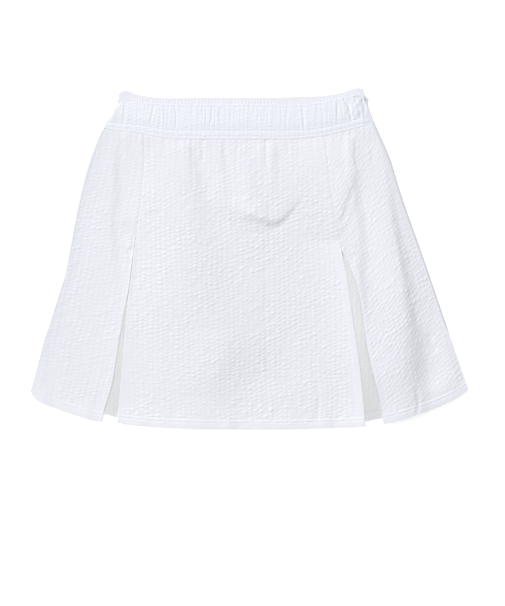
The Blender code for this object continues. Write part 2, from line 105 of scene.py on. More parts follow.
class Value:
    def __init__(self, tree, socket):
        self.tree = tree
        self.socket = socket

    def node(self, kind, settings, sockets, output=0):
        made = self.tree.nodes.new(kind)
        for name, setting in settings.items():
            setattr(made, name, setting)
        plug(made, sockets)
        return Value(self.tree, made.outputs[output])

    def sum(self, operation, left, right):
        return self.node("ShaderNodeMath", {"operation": operation}, {0: left, 1: right})

    def __add__(self, other):
        return self.sum("ADD", self, other)

    def __radd__(self, other):
        return self.sum("ADD", other, self)

    def __sub__(self, other):
        return self.sum("SUBTRACT", self, other)

    def __rsub__(self, other):
        return self.sum("SUBTRACT", other, self)

    def __mul__(self, other):
        return self.sum("MULTIPLY", self, other)

    def __rmul__(self, other):
        return self.sum("MULTIPLY", other, self)


def plug(node, sockets):
    # a Value is linked, and anything else is the socket's own setting
    for name, value in sockets.items():
        if isinstance(value, Value):
            value.tree.links.new(value.socket, node.inputs[name])
        else:
            node.inputs[name].default_value = value


def newFinish(name):
    material = bpy.data.materials.new(name)
    material.use_nodes = True
    shader = material.node_tree.nodes["Principled BSDF"]
    return material, shader, Value(material.node_tree, None)


def mixColour(start, factor, low, high):
    return start.node(
        "ShaderNodeMix",
        {"data_type": "RGBA", "clamp_factor": False},
        {0: factor, 6: (*low, 1), 7: (*high, 1)},
        output=2,
    )


def clothFinish(name, look):
    # crests are painted paler than the hollows between them, as painted shade in the hollows; the crest
    # attribute also carries each piece's other painted light and shade, and the threads show in the
    # bump
    material, shader, start = newFinish(name)
    place = start.node("ShaderNodeTexCoord", {}, {}, output="Object")
    crest = start.node("ShaderNodeAttribute", {"attribute_name": "crest"}, {}, output="Fac")
    cloud = start.node(
        "ShaderNodeTexNoise", {}, {"Vector": place, "Scale": look["clouds"], "Detail": 2.0}
    )
    threadPlace = start.node(
        "ShaderNodeMapping", {}, {"Vector": place, "Scale": look["threadStretch"]}
    )
    threads = start.node(
        "ShaderNodeTexNoise", {}, {"Vector": threadPlace, "Scale": look["threads"], "Detail": 3.0}
    )
    warp = start.node(
        "ShaderNodeTexWave",
        {"bands_direction": "X"},
        {"Vector": place, "Scale": look["warp"], "Distortion": 1.6, "Detail": 1.0},
    )
    share = look["paleShares"]
    pale = crest * share["crest"] + cloud * share["clouds"] + threads * share["threads"] - share["less"]
    relief = threads * look["threadRelief"] + warp * look["warpRelief"]
    bump = start.node(
        "ShaderNodeBump",
        {},
        {"Strength": look["bump"], "Distance": look["bumpDepth"], "Height": relief},
    )
    sockets = {
        "Base Color": mixColour(start, pale, look["hollow"], look["crest"]),
        "Roughness": look["roughness"] + threads * look["threadRoughness"],
        "Normal": bump,
        "Sheen Weight": look["sheen"],
        "Sheen Roughness": look["sheenRoughness"],
        "Specular IOR Level": look["specular"],
    }
    plug(shader, sockets)
    return material


print("finishes")

clothLooks = {
    "seersucker": {"hollow": (0.772, 0.781, 0.836), "crest": (0.812, 0.82, 0.874)},
    # the back is the same seersucker in darker colours: painted shade on its rolled edges along the
    # outline
    "back_cloth_painted_shade": {"hollow": (0.69, 0.702, 0.755), "crest": (0.742, 0.752, 0.802)},
    "band_cloth": {
        "hollow": (0.784, 0.801, 0.861),
        "crest": (0.83, 0.845, 0.903),
        "threadStretch": (1.0, 0.4, 1.0),
    },
    "band_inside": {
        "hollow": (0.765, 0.773, 0.822),
        "crest": (0.815, 0.823, 0.87),
        "threads": 1700.0,
        "threadStretch": (1.0, 0.3, 1.0),
        "warp": 900.0,
        "bump": 0.2,
        "sheen": 0.05,
    },
    # the underlays are the same cloth, greyer and with a dark hollow colour: painted shade in the slits
    "underlay_cloth": {
        "hollow": (0.665, 0.668, 0.68),
        "crest": (0.81, 0.812, 0.822),
        "threadStretch": (1.0, 0.5, 1.0),
        "warp": 800.0,
        "sheen": 0.04,
    },
}
everyCloth = {  # what a cloth has where its own look doesn't say otherwise
    "paleShares": {"crest": 0.75, "clouds": 0.35, "threads": 0.2, "less": 0.15},
    "clouds": 22.0,
    "threads": 1500.0,
    "threadStretch": (1.0, 0.45, 1.0),
    "warp": 700.0,
    "threadRelief": 0.8,
    "warpRelief": 0.2,
    "bump": 0.22,
    "bumpDepth": 0.0003,  # metres
    "roughness": 0.8,
    "threadRoughness": 0.16,
    "sheen": 0.06,
    "sheenRoughness": 0.5,
    "specular": 0.2,
}
finishes = {name: clothFinish(name, {**everyCloth, **look}) for name, look in clothLooks.items()}

threadLook = {
    "dark": (0.76, 0.77, 0.82),
    "pale": (0.82, 0.83, 0.87),
    "twist": 2600.0,
    "roughness": 0.6,
    "bump": 0.4,
    "bumpDepth": 0.0001,  # metres
}


def threadFinish(look):
    material, shader, start = newFinish("thread")
    place = start.node("ShaderNodeTexCoord", {}, {}, output="Object")
    twist = start.node(
        "ShaderNodeTexWave",
        {"bands_direction": "DIAGONAL"},
        {"Vector": place, "Scale": look["twist"], "Distortion": 1.0},
    )
    bump = start.node(
        "ShaderNodeBump",
        {},
        {"Strength": look["bump"], "Distance": look["bumpDepth"], "Height": twist},
    )
    sockets = {
        "Base Color": mixColour(start, twist, look["dark"], look["pale"]),
        "Roughness": look["roughness"],
        "Normal": bump,
    }
    plug(shader, sockets)
    return material


finishes["thread"] = threadFinish(threadLook)

# Walls, from the surface upwards
layers = {
    "cloth": 1.4,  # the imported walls
    "underlay": 1.3,
    "gap": 0.3,
    "sideGap": 0.6,
    "seamAir": 0.03,  # between the two shells at a side seam
    "wall": 1.0,  # the thin cloth shown here
}
frontRest = layers["cloth"] + layers["underlay"] + 2 * layers["gap"]
rollRadius = frontRest / 2
rollReach = rollRadius + layers["cloth"] / 2

# The garment's outline, read from the waist to the hem
leftOutline = {
    "y": (203, 198, 188, 176, 159, 121, 82, 44, 5, -14, -52, -91, -129, -160),
    "x": (-155.5, -156.5, -158, -165, -175, -191, -202, -210, -217, -220.5, -232, -244, -254, -262.5),
}
rightOutline = {
    "y": (208, 200, 194, 182, 159, 121, 82, 44, 5, -33, -71, -110, -154),
    "x": (136, 138, 140.5, 143.5, 152.5, 169, 181, 194, 208, 221, 234, 247, 262.5),
}

# The princess seams, from the waistband to the slits, and the two edges of each slit
leftSeam = {"y": (155, 111, 74, 26), "x": (-127, -126.5, -130, -136)}
rightSeam = {"y": (155, 109, 83, 38, 10), "x": (89.5, 95, 97.5, 106, 111)}
leftSlitSide = {
    "y": (26, 4, -16, -41, -64, -100, -154, -188, -197),
    "x": (-136, -139.1, -141.5, -144.9, -150, -157, -166, -176, -177.5),
}
leftSlitFront = {
    "y": (26, 4, -16, -41, -68, -101, -151, -198),
    "x": (-136, -138.9, -141.2, -144.4, -146.9, -150, -154, -159),
}
rightSlitFront = {
    "y": (10, -17, -37, -85, -112, -145, -202),
    "x": (111, 116.5, 119, 126, 130, 134, 139),
}
rightSlitSide = {
    "y": (10, -7, -26, -46, -80, -112, -139, -165, -199),
    "x": (111, 119, 127.5, 133, 138.5, 144, 150, 156.5, 162),
}

# Lines across it: the waistband's edges and the hems
bandTopLine = {
    "x": (-158, -127, -89, 0, 66, 85, 101, 113, 130, 140.5),
    "y": (188, 187, 185, 185, 185, 187, 190.5, 192.5, 196.5, 196),
}
bandLowLine = {
    "x": (-176, -164, -143, -126, -106, -59, 0, 49, 85, 113, 133, 152.5),
    "y": (156.5, 154, 152, 149, 145, 143, 143, 143, 146, 152, 157.5, 161),
}
backTopLine = {
    "x": (-156.5, -152, -132, -116, -60, 60, 97, 112, 121, 133, 136),
    "y": (199.5, 201.5, 197, 194.5, 194, 195, 197, 200, 203, 205.3, 204.5),
}
sideLeftHem = {
    "x": (-262.5, -258, -247, -229, -208, -183, -177.5),
    "y": (-160, -167, -174, -181, -188, -195, -195.5),
}
frontHem = {
    "x": (-159, -143, -119, -90, -7, 61, 97, 139),
    "y": (-197.5, -199.5, -201.5, -203, -204.8, -204.2, -203, -201),
}
sideRightHem = {
    "x": (162, 178, 202, 232, 253, 262.5),
    "y": (-198.5, -194.5, -187, -176, -165, -158),
}
backHem = {
    "x": (-256, -230, -180, -90, 0, 90, 160, 225, 256),
    "y": (-148, -164, -180, -191, -194, -192, -185, -166, -147),
}
leftUnderlayHem = {"x": (-190, -174, -160, -146), "y": (-184, -186, -190, -192)}
rightUnderlayHem = {"x": (126, 140, 158, 172), "y": (-197, -195, -191.5, -189)}

# The side seams lie on the front, this far inside the outline
seamStrip = {"y": (196, 172, 150, 120, 63, 5, -200), "width": (3.4, 3.8, 4.8, 5, 4.4, 3.2, 3.2)}

# The large folds of the front layer: a crest, its height and its two flanks
folds = (
    {  # right side panel, the main ridge, which falls steeply into a trough on its right
        "y": (140, 118, 100, 75, 38, 12, -7, -43, -80, -110, -137, -170, -202),
        "x": (154, 159, 162, 165, 170, 176, 179, 183, 185, 184, 184, 193, 198),
        "height": (0, 0.4, 0.8, 1.5, 2.8, 3.6, 4.0, 4.6, 5.0, 5.6, 5.6, 4.4, 3.7),
        "left": (50, 60, 66, 66, 64, 60, 58, 56, 56, 54, 50, 44, 40),
        "right": (14, 13, 12, 12, 13, 15, 17, 20, 24, 31, 33, 31, 29),
    },
    {  # its slower fall towards the side seam
        "y": (140, 110, 75, 38, -7, -43, -80, -110),
        "x": (150, 158, 164, 170, 178, 186, 190, 192),
        "height": (0, 0.3, 0.7, 1.3, 1.7, 1.6, 1.0, 0),
        "left": (30, 40, 48, 48, 46, 48, 48, 44),
        "right": (20, 24, 28, 32, 38, 42, 46, 46),
    },
    {  # and the trough where it is widest
        "y": (-45, -74, -100, -122, -142, -160),
        "x": (208, 212, 216, 219, 219, 216),
        "height": (0, -0.7, -1.2, -1.7, -1.6, 0),
        "left": (18, 20, 23, 26, 26, 22),
        "right": (24, 26, 30, 32, 32, 26),
    },
    {  # the low ridge on the far side of that trough
        "y": (-70, -95, -128, -170, -200),
        "x": (228, 232, 240, 238, 236),
        "height": (0, 0.5, 0.8, 0.7, 0.5),
        "left": (14, 18, 22, 26, 26),
        "right": (14, 18, 22, 26, 28),
    },
    {  # right side panel, the edge of the slit, which stands off the layers below
        "y": (12, -10, -40, -75, -112, -139, -165, -200),
        "x": (110, 121, 134, 142, 149, 155, 161, 167),
        "height": (0, 1.5, 2.1, 2.2, 2.1, 1.9, 1.5, 0.8),
        "left": (6, 3.5, 6, 9, 11, 12, 13, 14),
        "right": (10, 16, 34, 52, 60, 60, 56, 50),
    },
    {  # right side panel, a step from the band that slants towards the slit
        "y": (150, 139, 120, 98, 70, 45, 22),
        "x": (100, 101, 104, 108, 109, 105, 102),
        "height": (0, 0.6, 2.0, 2.7, 2.1, 1.1, 0),
        "left": (70, 90, 100, 100, 90, 80, 70),
        "right": (44, 44, 42, 37, 27, 18, 12),
    },
    {  # and a soft one that runs on below it
        "y": (110, 85, 50, 20, 0, -20, -50, -85, -125, -165, -195),
        "x": (119, 122, 127, 130, 131, 131, 133, 137, 145, 154, 160),
        "height": (0, 1.4, 2.0, 1.8, 1.5, 1.3, 1.3, 1.3, 1.1, 0.8, 0),
        "left": (36, 40, 44, 34, 14, 10, 9, 8, 8, 8, 8),
        "right": (11, 12, 14, 14, 13, 12, 10, 9, 9, 9, 9),
    },
    {
        "y": (152, 138, 120, 102, 80),
        "x": (121, 122, 123, 124, 125),
        "height": (0, 1.0, 1.1, 0.8, 0),
        "left": (13, 14, 14, 14, 14),
        "right": (11, 12, 12, 12, 12),
    },
    {  # left side panel, a soft trough below the band, steep on its left
        "y": (146, 134, 110, 80, 60, 46),
        "x": (-153, -153, -153, -153, -153, -153),
        "height": (0, -0.4, -1.0, -1.0, -0.6, 0),
        "left": (9, 11, 11, 12, 12, 12),
        "right": (50, 60, 60, 44, 30, 20),
    },
    {  # and the step that carries it on towards the slit
        "y": (76, 50, 20, -10, -50),
        "x": (-168, -168, -167, -166, -163),
        "height": (0, 0.7, 0.8, 0.5, 0),
        "left": (40, 42, 44, 44, 40),
        "right": (10, 10, 11, 12, 14),
    },
    {  # front panel, the long soft ridge on the left, which falls towards the middle
        "y": (150, 130, 110, 60, 10, -50, -110),
        "x": (-74, -74, -73, -74, -77, -76, -70),
        "height": (0, 1.1, 1.5, 2.0, 2.2, 1.8, 0),
        "left": (36, 50, 60, 70, 78, 80, 76),
        "right": (9, 11, 15, 34, 56, 64, 64),
    },
    {  # and the broad one below it, which falls to the right and towards the hem
        "y": (40, 0, -50, -80, -103, -130, -150, -168, -184, -204),
        "x": (-66, -62, -52, -44, -37, -42, -50, -55, -57, -58),
        "height": (0, 0.7, 1.3, 1.7, 2.0, 1.9, 1.75, 1.6, 1.45, 1.3),
        "left": (60, 76, 90, 98, 104, 102, 98, 90, 84, 80),
        "right": (40, 52, 64, 70, 74, 74, 66, 58, 54, 54),
    },
    {  # which is steepest close to its crest
        "y": (-84, -102, -128, -146, -166),
        "x": (-34, -33, -41, -49, -53),
        "height": (0, 0.8, 1.1, 0.8, 0),
        "left": (60, 84, 80, 60, 44),
        "right": (22, 28, 32, 30, 26),
    },
    {  # and the trough on its right
        "y": (60, 0, -60, -103, -130, -150, -168, -192),
        "x": (44, 46, 48, 44, 38, 30, 20, 16),
        "height": (0, -0.45, -0.9, -1.4, -1.5, -1.1, -0.3, 0),
        "left": (70, 76, 82, 80, 78, 76, 64, 56),
        "right": (60, 60, 62, 68, 74, 80, 70, 60),
    },
    {
        "y": (144, 120, 85, 50),
        "x": (-39, -36, -33, -31),
        "height": (0, 0.5, 0.6, 0),
        "left": (16, 20, 22, 22),
        "right": (8, 10, 12, 16),
    },
    {  # front panel, the crease beside the short bulge
        "y": (147, 130, 108, 86, 66),
        "x": (27, 27, 26, 25, 24),
        "height": (0, 0.9, 0.9, 0.6, 0),
        "left": (36, 42, 46, 46, 46),
        "right": (9, 10, 12, 13, 13),
    },
    {  # and the dent at its lower left
        "y": (140, 116, 94, 76, 64, 52, 42, 30),
        "x": (2, 1, -2, -2, 2, 9, 16, 22),
        "height": (0, 0.3, 0.7, 1.6, 2.5, 2.4, 1.0, 0),
        "left": (44, 48, 52, 56, 54, 50, 44, 40),
        "right": (18, 20, 22, 24, 26, 24, 20, 14),
    },
    {  # and a soft rise above it
        "y": (140, 112, 90, 74, 60),
        "x": (-8, -8, -8, -8, -8),
        "height": (0, 0.6, 0.8, 0.2, 0),
        "left": (30, 34, 34, 34, 30),
        "right": (22, 24, 24, 24, 22),
    },
    {  # front panel, the low rise along its right
        "y": (70, 10, -60, -130, -206),
        "x": (104, 112, 118, 124, 130),
        "height": (0, 0.1, 0.2, 0.2, 0.1),
        "left": (50, 52, 56, 58, 56),
        "right": (60, 60, 60, 60, 60),
    },
)
foldFade = {
    "outline": 11.0,
    "band": 10.0,
    "tail": 6.0,  # a fold runs on this far below its last place
}

# The bulge below the band that ends in a pointed crease
bulge = {
    "point": (30.5, 35.5),
    "climb": (0.42, 1.3),  # of the crease to the left and to the right of its point
    "crest": 25.0,
    "flank": 52.0,
    "height": 2.6,
    "fall": (12.0, 11.0),  # how wide the steep side is, to the left and to the right of the point
    "fallTurn": 16.0,  # how far to the left it has its full width
    "top": 128.0,
    "blunt": 11.0,
}


def creaseList(*rows):
    return [dict(zip(("from", "to", "depth", "width"), row)) for row in rows]


# Small creases: where they run from and to, how deep and how wide they are
creases = creaseList(
    ((-146, 8), (-139.5, 9), 0.8, 4.0),
    ((-143.5, 28), (-142, 14), -0.35, 3.4),
    ((20.5, 144), (21, 108), 0.5, 2.0),
    ((44, 144), (47, 126), 0.2, 2.4),
    ((-55, 142), (-56, 118), 0.4, 2.6),
    ((-70, 142), (-68, 90), 0.3, 3.0),
    ((-30, 142), (-27, 112), 0.25, 2.8),
    ((3, 71), (18, 52), 0.6, 5.0),
    ((20, 49), (36, 37), 0.5, 4.5),
    ((38, 41), (60, 65), 0.3, 4.0),
    ((127, 142), (129, 112), 0.6, 2.4),
    ((146, 140), (148, 116), 0.3, 2.2),
    ((123.5, 83), (113.5, 46), 0.6, 3.4),
    ((181, 26), (190, -24), 0.7, 3.4),
    ((193, -40), (200, -76), 0.8, 4.2),
    ((202, -156), (202.5, -188), 0.8, 2.8),
    ((216, -92), (221, -112), 0.7, 4.5),
    ((82, -148), (84, -190), 0.4, 3.0),
    ((21, 30), (20, -120), 0.2, 5.0),
)
creaseLook = {
    "waver": 0.5,  # share of the width by which a crease runs unevenly
    "waverLength": 9.0,
    "seed": 900,
    "start": 0.25,  # shares of its length over which it comes and goes
    "end": 0.35,
    "blunt": 0.6,  # and what is there already at its very ends
}


def through(stations, values):
    # a smooth function through the values, given at rising or falling stations
    stations = np.asarray(stations, float)
    values = np.asarray(values, float)
    if stations[0] > stations[-1]:
        stations = stations[::-1]
        values = values[::-1]
    slopes = np.gradient(values, stations)

    def at(place):
        place = np.clip(np.asarray(place, float), stations[0], stations[-1])
        left = np.clip(np.searchsorted(stations, place) - 1, 0, len(stations) - 2)
        step = stations[left + 1] - stations[left]
        t = (place - stations[left]) / step
        rise = values[left + 1] - values[left]
        leaving = slopes[left] * step - rise
        arriving = slopes[left + 1] * step - rise
        bend = t * (1 - t) * (leaving * (1 - t) - arriving * t)
        return values[left] + rise * t + bend

    return at


def ease(t):
    t = np.clip(t, 0, 1)
    return t * t * (3 - 2 * t)


def fading(distance, reach):
    # 1 at an edge and 0 from the reach inwards
    return 1 - ease(distance / reach)


def mixed(near, far, share):
    return near * (1 - share) + far * share


def hump(distance, width):
    # 1 at the middle and 0 from the width outwards
    return 0.5 + 0.5 * np.cos(math.pi * np.clip(np.abs(distance) / width, 0, 1))


def groove(distance, width):
    # 1 at the middle, and it dies away on both sides
    return np.exp(-((distance / width) ** 2))


def softNoise(x, y, cell, seed):
    # smooth and uneven, from -1 to 1, with about the cell's size
    count = 89  # cells each way, before it repeats
    middle = 40  # the cell at the tables' zero
    lattice = np.random.default_rng(seed).uniform(-1, 1, (count, count))
    cellX, cellY = cell if isinstance(cell, tuple) else (cell, cell)
    u = np.asarray(x, float) / cellX + middle
    v = np.asarray(y, float) / cellY + middle
    i = np.floor(u).astype(int)
    j = np.floor(v).astype(int)

    share = ease(u - i)

    def row(j):
        return mixed(lattice[i % count, j % count], lattice[(i + 1) % count, j % count], share)

    return mixed(row(j), row(j + 1), ease(v - j))


def edgeX(table):
    return through(table["y"], table["x"])


def lineY(table):
    return through(table["x"], table["y"])


def seamThenSlit(seam, slit):
    above = edgeX(seam)
    below = edgeX(slit)
    return lambda y: np.where(y > slit["y"][0], above(y), below(y))


leftOutlineX = edgeX(leftOutline)
rightOutlineX = edgeX(rightOutline)
stripWidth = through(seamStrip["y"], seamStrip["width"])
bandTopY = lineY(bandTopLine)
bandLowY = lineY(bandLowLine)
sideLeftInner = seamThenSlit(leftSeam, leftSlitSide)
frontLeft = seamThenSlit(leftSeam, leftSlitFront)
frontRight = seamThenSlit(rightSeam, rightSlitFront)
sideRightInner = seamThenSlit(rightSeam, rightSlitSide)


def fromOutline(x, y):
    return x - leftOutlineX(y), rightOutlineX(y) - x


def meeting(xOfY, yOfX):
    # the height at which an edge meets a line across
    y = 0.0
    for _ in range(30):
        y = float(yOfX(xOfY(y)))
    return y


def patch(leftX, rightX, topLine, lowLine, across, down):
    # points, rows x columns x 2, between two edges that run down and two lines across
    def edge(xOfY):
        top = meeting(xOfY, topLine)
        low = meeting(xOfY, lowLine)
        y = top + (low - top) * down
        return np.stack([xOfY(y), y], axis=-1)

    def line(yOfX, start, end):
        x = start[0] + (end[0] - start[0]) * across
        return np.stack([x, yOfX(x)], axis=-1)

    left = edge(leftX)
    right = edge(rightX)
    top = line(topLine, left[0], right[0])
    low = line(lowLine, left[-1], right[-1])
    u = across[None, :, None]
    v = down[:, None, None]
    sides = mixed(left[:, None, :], right[:, None, :], u)
    corners = mixed(mixed(left[0], right[0], u), mixed(left[-1], right[-1], u), v)
    return sides + mixed(top[None], low[None], v) - corners


def spreadOut(across, down):
    # both shares for every point of a piece
    return across[None, :] + 0 * down[:, None], down[:, None] + 0 * across[None, :]


def foldHeight(x, y):
    total = np.zeros(np.broadcast(x, y).shape)
    for fold in folds:
        crest, height, left, right = (
            through(fold["y"], fold[part])(y) for part in ("x", "height", "left", "right")
        )
        flank = np.where(x - crest < 0, left, right)
        inside = (y < fold["y"][0]) & (y > fold["y"][-1] - foldFade["tail"])
        total += np.where(inside, height * hump(x - crest, flank), 0)
    total += bulgeHeight(x, y)
    fromSide = np.minimum(*fromOutline(x, y))
    return total * ease(fromSide / foldFade["outline"]) * ease((bandLowY(x) - y) / foldFade["band"])


def bulgeHeight(x, y):
    pointX, pointY = bulge["point"]
    blunt = bulge["blunt"]
    aside = x - pointX
    climb = np.where(aside < 0, *bulge["climb"])
    above = y - pointY - climb * (np.sqrt(aside**2 + blunt**2) - blunt)
    upwards = ease((bulge["top"] - y) / (bulge["top"] - pointY))
    wide, narrow = bulge["fall"]
    fall = narrow + (wide - narrow) * ease(-aside / bulge["fallTurn"])
    flanks = hump(x - bulge["crest"], bulge["flank"])
    return bulge["height"] * ease(above / fall) * upwards * flanks


def creaseDepth(x, y, listed):
    look = creaseLook
    total = np.zeros(np.broadcast(x, y).shape)
    for crease in listed:
        startX, startY = crease["from"]
        runX = crease["to"][0] - startX
        runY = crease["to"][1] - startY
        length = math.hypot(runX, runY)
        along = ((x - startX) * runX + (y - startY) * runY) / length
        aside = ((x - startX) * runY - (y - startY) * runX) / length
        waver = softNoise(along, 0 * along, look["waverLength"], look["seed"] + int(abs(startX)))
        aside = aside + look["waver"] * crease["width"] * waver
        share = along / length
        comes = ease(share / look["start"] + look["blunt"])
        goes = ease((1 - share) / look["end"] + look["blunt"])
        total += crease["depth"] * (comes * goes) * groove(aside, crease["width"])
    return total


def puckers(across, along, weave):
    # seersucker: columns of short blisters, staggered from one column to the next, from 0 to 1
    seed = weave["seed"]
    across = across + weave["drift"] * softNoise(across, along, weave["driftAcross"], seed)
    along = along + weave["drift"] * softNoise(across, along, weave["driftAlong"], seed + 1)
    column = np.floor(across / weave["width"])
    total = np.zeros(across.shape)
    for own in (column - 1, column, column + 1):  # 7.3, 5.7 and 3.9 give each column its own draw
        aside = across / weave["width"] - own - 0.5
        share = hump(aside, weave["reach"])
        slip = 0.5 * own + weave["loose"] * softNoise(own * 7.3, 0 * own, 1.0, seed + 2)
        slip = slip + weave["slip"] * softNoise(own * 5.7, along, (1.0, weave["slipLength"]), seed + 3)
        phase = along / weave["pitch"] + slip + weave["tilt"] * aside
        phase = phase + weave["skew"] * np.cos(2 * math.pi * phase) / (2 * math.pi)
        blister = (0.5 + 0.5 * np.cos(2 * math.pi * phase)) ** weave["plump"]
        uneven = softNoise(own * 3.9, along, (1.0, weave["pitch"]), seed + 4)
        total += share * blister * (weave["size"] + weave["uneven"] * uneven)
    return total


def meshFrom(bm, name, finish):
    mesh = bpy.data.meshes.new(name)
    bm.to_mesh(mesh)
    bm.free()
    mesh.shade_smooth()
    mesh.materials.append(finish)
    return mesh


def placed(name, mesh):
    piece = bpy.data.objects.new(name, mesh)
    bpy.context.scene.collection.objects.link(piece)
    print(name, len(mesh.polygons), "faces")
    return piece


hardEdge = math.radians(60)  # a sharper turn than this isn't smoothed over
plainCrest = 0.5  # the hidden side's


def clothShell(name, over, under, step, finish, crest):
    # a closed shell of cloth: the side that shows has every row and column,
    # and the other side has every step-th one
    rows, columns = over.shape[:2]
    total = rows * columns
    bm = bmesh.new()
    place = bm.verts.layers.int.new("place")

    def numberVerts(verts, start):
        for vert in verts:
            column = round((vert.co.x + 1) / 2 * (columns - 1))
            row = round((1 - vert.co.y) / 2 * (rows - 1))
            vert[place] = start + row * columns + column

    shown = bmesh.ops.create_grid(bm, x_segments=columns - 1, y_segments=rows - 1, size=1)["verts"]
    numberVerts(shown, 0)
    rim = [edge for edge in bm.edges if edge.is_boundary]
    for item in bmesh.ops.extrude_edge_only(bm, edges=rim)["geom"]:
        if isinstance(item, bmesh.types.BMVert):
            item[place] += total
    hidden = bmesh.ops.create_grid(
        bm, x_segments=(columns - 1) // step, y_segments=(rows - 1) // step, size=1
    )["verts"]
    for vert in hidden:
        vert[place] = -1
    if step > 1:
        outer = [edge for vert in hidden for edge in vert.link_edges if edge.is_boundary]
        bmesh.ops.subdivide_edges(bm, edges=list(set(outer)), cuts=step - 1)
    numberVerts([vert for vert in bm.verts if vert[place] < 0], total)
    points = np.concatenate([over.reshape(-1, 3), under.reshape(-1, 3)])
    points = ((points + frameShift) * mm).tolist()
    for vert in bm.verts:
        vert.co = points[vert[place]]
    bmesh.ops.remove_doubles(bm, verts=[v for v in bm.verts if v[place] >= total], dist=1e-7)
    bmesh.ops.recalc_face_normals(bm, faces=bm.faces)
    mesh = meshFrom(bm, name, finish)
    mesh.set_sharp_from_angle(angle=hardEdge)
    places = np.zeros(len(mesh.vertices), np.int32)
    mesh.attributes["place"].data.foreach_get("value", places)
    # the crest attribute carries each piece's painted light and shade into its finish
    values = np.concatenate([crest.ravel(), np.full(total, plainCrest)])[places].astype(np.float32)
    mesh.attributes.remove(mesh.attributes["place"])
    mesh.attributes.new("crest", "FLOAT", "POINT").data.foreach_set("value", values)
    return placed(name, mesh)


def settle(piece, node):
    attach(piece, "root")
    if node:
        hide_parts(node)
    return piece


def edgedShares(count, length, near=(0, 0.15, 0.45, 0.95)):
    # rising shares from 0 to 1 in this many steps, with close ones along both edges
    start = np.array(near) / length
    middle = np.linspace(start[-1], 1 - start[-1], count + 3 - 2 * len(near))
    return np.r_[start[:-1], middle, 1 - start[:-1][::-1]]


def rounded(distance, radius):
    # how far a soft edge falls, at this distance from it
    inside = np.clip(radius - distance, 0, radius)
    return radius - np.sqrt(radius * radius - inside * inside)


panelLook = {
    "hemDepth": 11.0,
    "hemExtra": 0.35,  # the turned layer under the hem
    "hemStep": 1.2,  # over which that layer ends
    "hemDroop": 0.05,
    "droopReach": 4.0,
    "hemRound": 0.4,
    "cornerDrop": 0.4,  # of the outer corners, where the back is tucked in below them
    "cornerReach": 10.0,
    "cornerRun": 40.0,
    "stitchLines": (7.6, 10.8),  # above the hem's edge
    "stitchDip": 0.36,
    "stitchWidth": 0.75,
    "puckerHeight": 0.62,
    "puckerSize": (0.95, 0.35),  # its mean, and how much it varies over the panel
    "puckerPatch": 27.0,  # size of the livelier and the calmer places
    "hemPucker": 0.5,  # share of the pucker's height
    "turnPucker": 0.4,  # the same along a slit's turned edge
    # flatter near the band, and livelier in the middle
    "calm": {"y": (150, 95, 45, -20, -210), "share": (0.5, 0.58, 0.86, 0.92, 0.88)},
    "lively": {"x": 22.0, "reach": 62.0, "share": 0.22},
    "crinkle": 0.17,  # share of the pucker's height that is only uneven
    "seamCalm": 1.2,  # where the puckers begin, beside a seam or a free edge
    "endCalm": 1.6,  # and at the band and the hem
    # painted light above the hem: full up to this height, then fading over the panel's hemPaleReach
    "hemPaleStart": 4.0,
    "paleReach": 52.0,  # of the painted light along a slit, from its edge over the doubled cloth and well past it
    # painted shade beside the outline and over a wide band from it; a negative share paints light
    # instead
    "rim": {"left": 1.2, "right": -0.3, "reach": 22.0, "wide": 0.25, "wideReach": 60.0},
    "seamGap": 0.06,
    "seamDip": 0.27,
    "sideDip": 0.12,
    "seamReach": 1.3,
    "seamPull": 0.14,  # small uneven folds that end at a seam
    "pullReach": 5.0,
    "bandDip": 0.3,
    "bandDipWidth": 1.1,
    "ripple": 0.24,  # small folds that run down from the band's gathers
    "rippleReach": (16.0, 11.0),  # its mean, and how much it varies
    "hemWave": 0.45,
    "hemWaveReach": 30.0,
    "slitStart": 6.0,  # length in which a seam becomes two free edges
    "sinkRun": 40.0,  # length in which they come down onto the underlay
    "openRun": 16.0,
    "edgeStep": 0.15,  # of a slit's free edge above its underlay
    "edgeRound": 0.35,
    "turnRise": 0.08,  # of the turned edge, with a groove beside it
    "turnGroove": 0.16,
    "turnGrooveWidth": 0.9,
    "underlayReach": (12.0, 4.0),  # past the turned edge, and the length in which it ends
    "backDrop": 0.2,  # of the hidden side, below the wall
    "leastWall": 0.2,
    "airGap": 0.03,
}
tuckStart = -98.0  # below this the back is tucked in under the front


def panelPucker(look, x, y, hem):
    # how high the blisters stand: flatter near the band and on the hem
    pucker = look["puckerHeight"] * look["puckerShare"] * through(*look["calm"].values())(y)
    lively = look["lively"]
    pucker = pucker * (1 + lively["share"] * hump(x - lively["x"], lively["reach"]))
    size, varied = look["puckerSize"]
    pucker *= size + varied * softNoise(x, y, look["puckerPatch"], look["seed"] + 9)
    pucker *= 1 - (1 - look["hemPucker"]) * hem
    return pucker


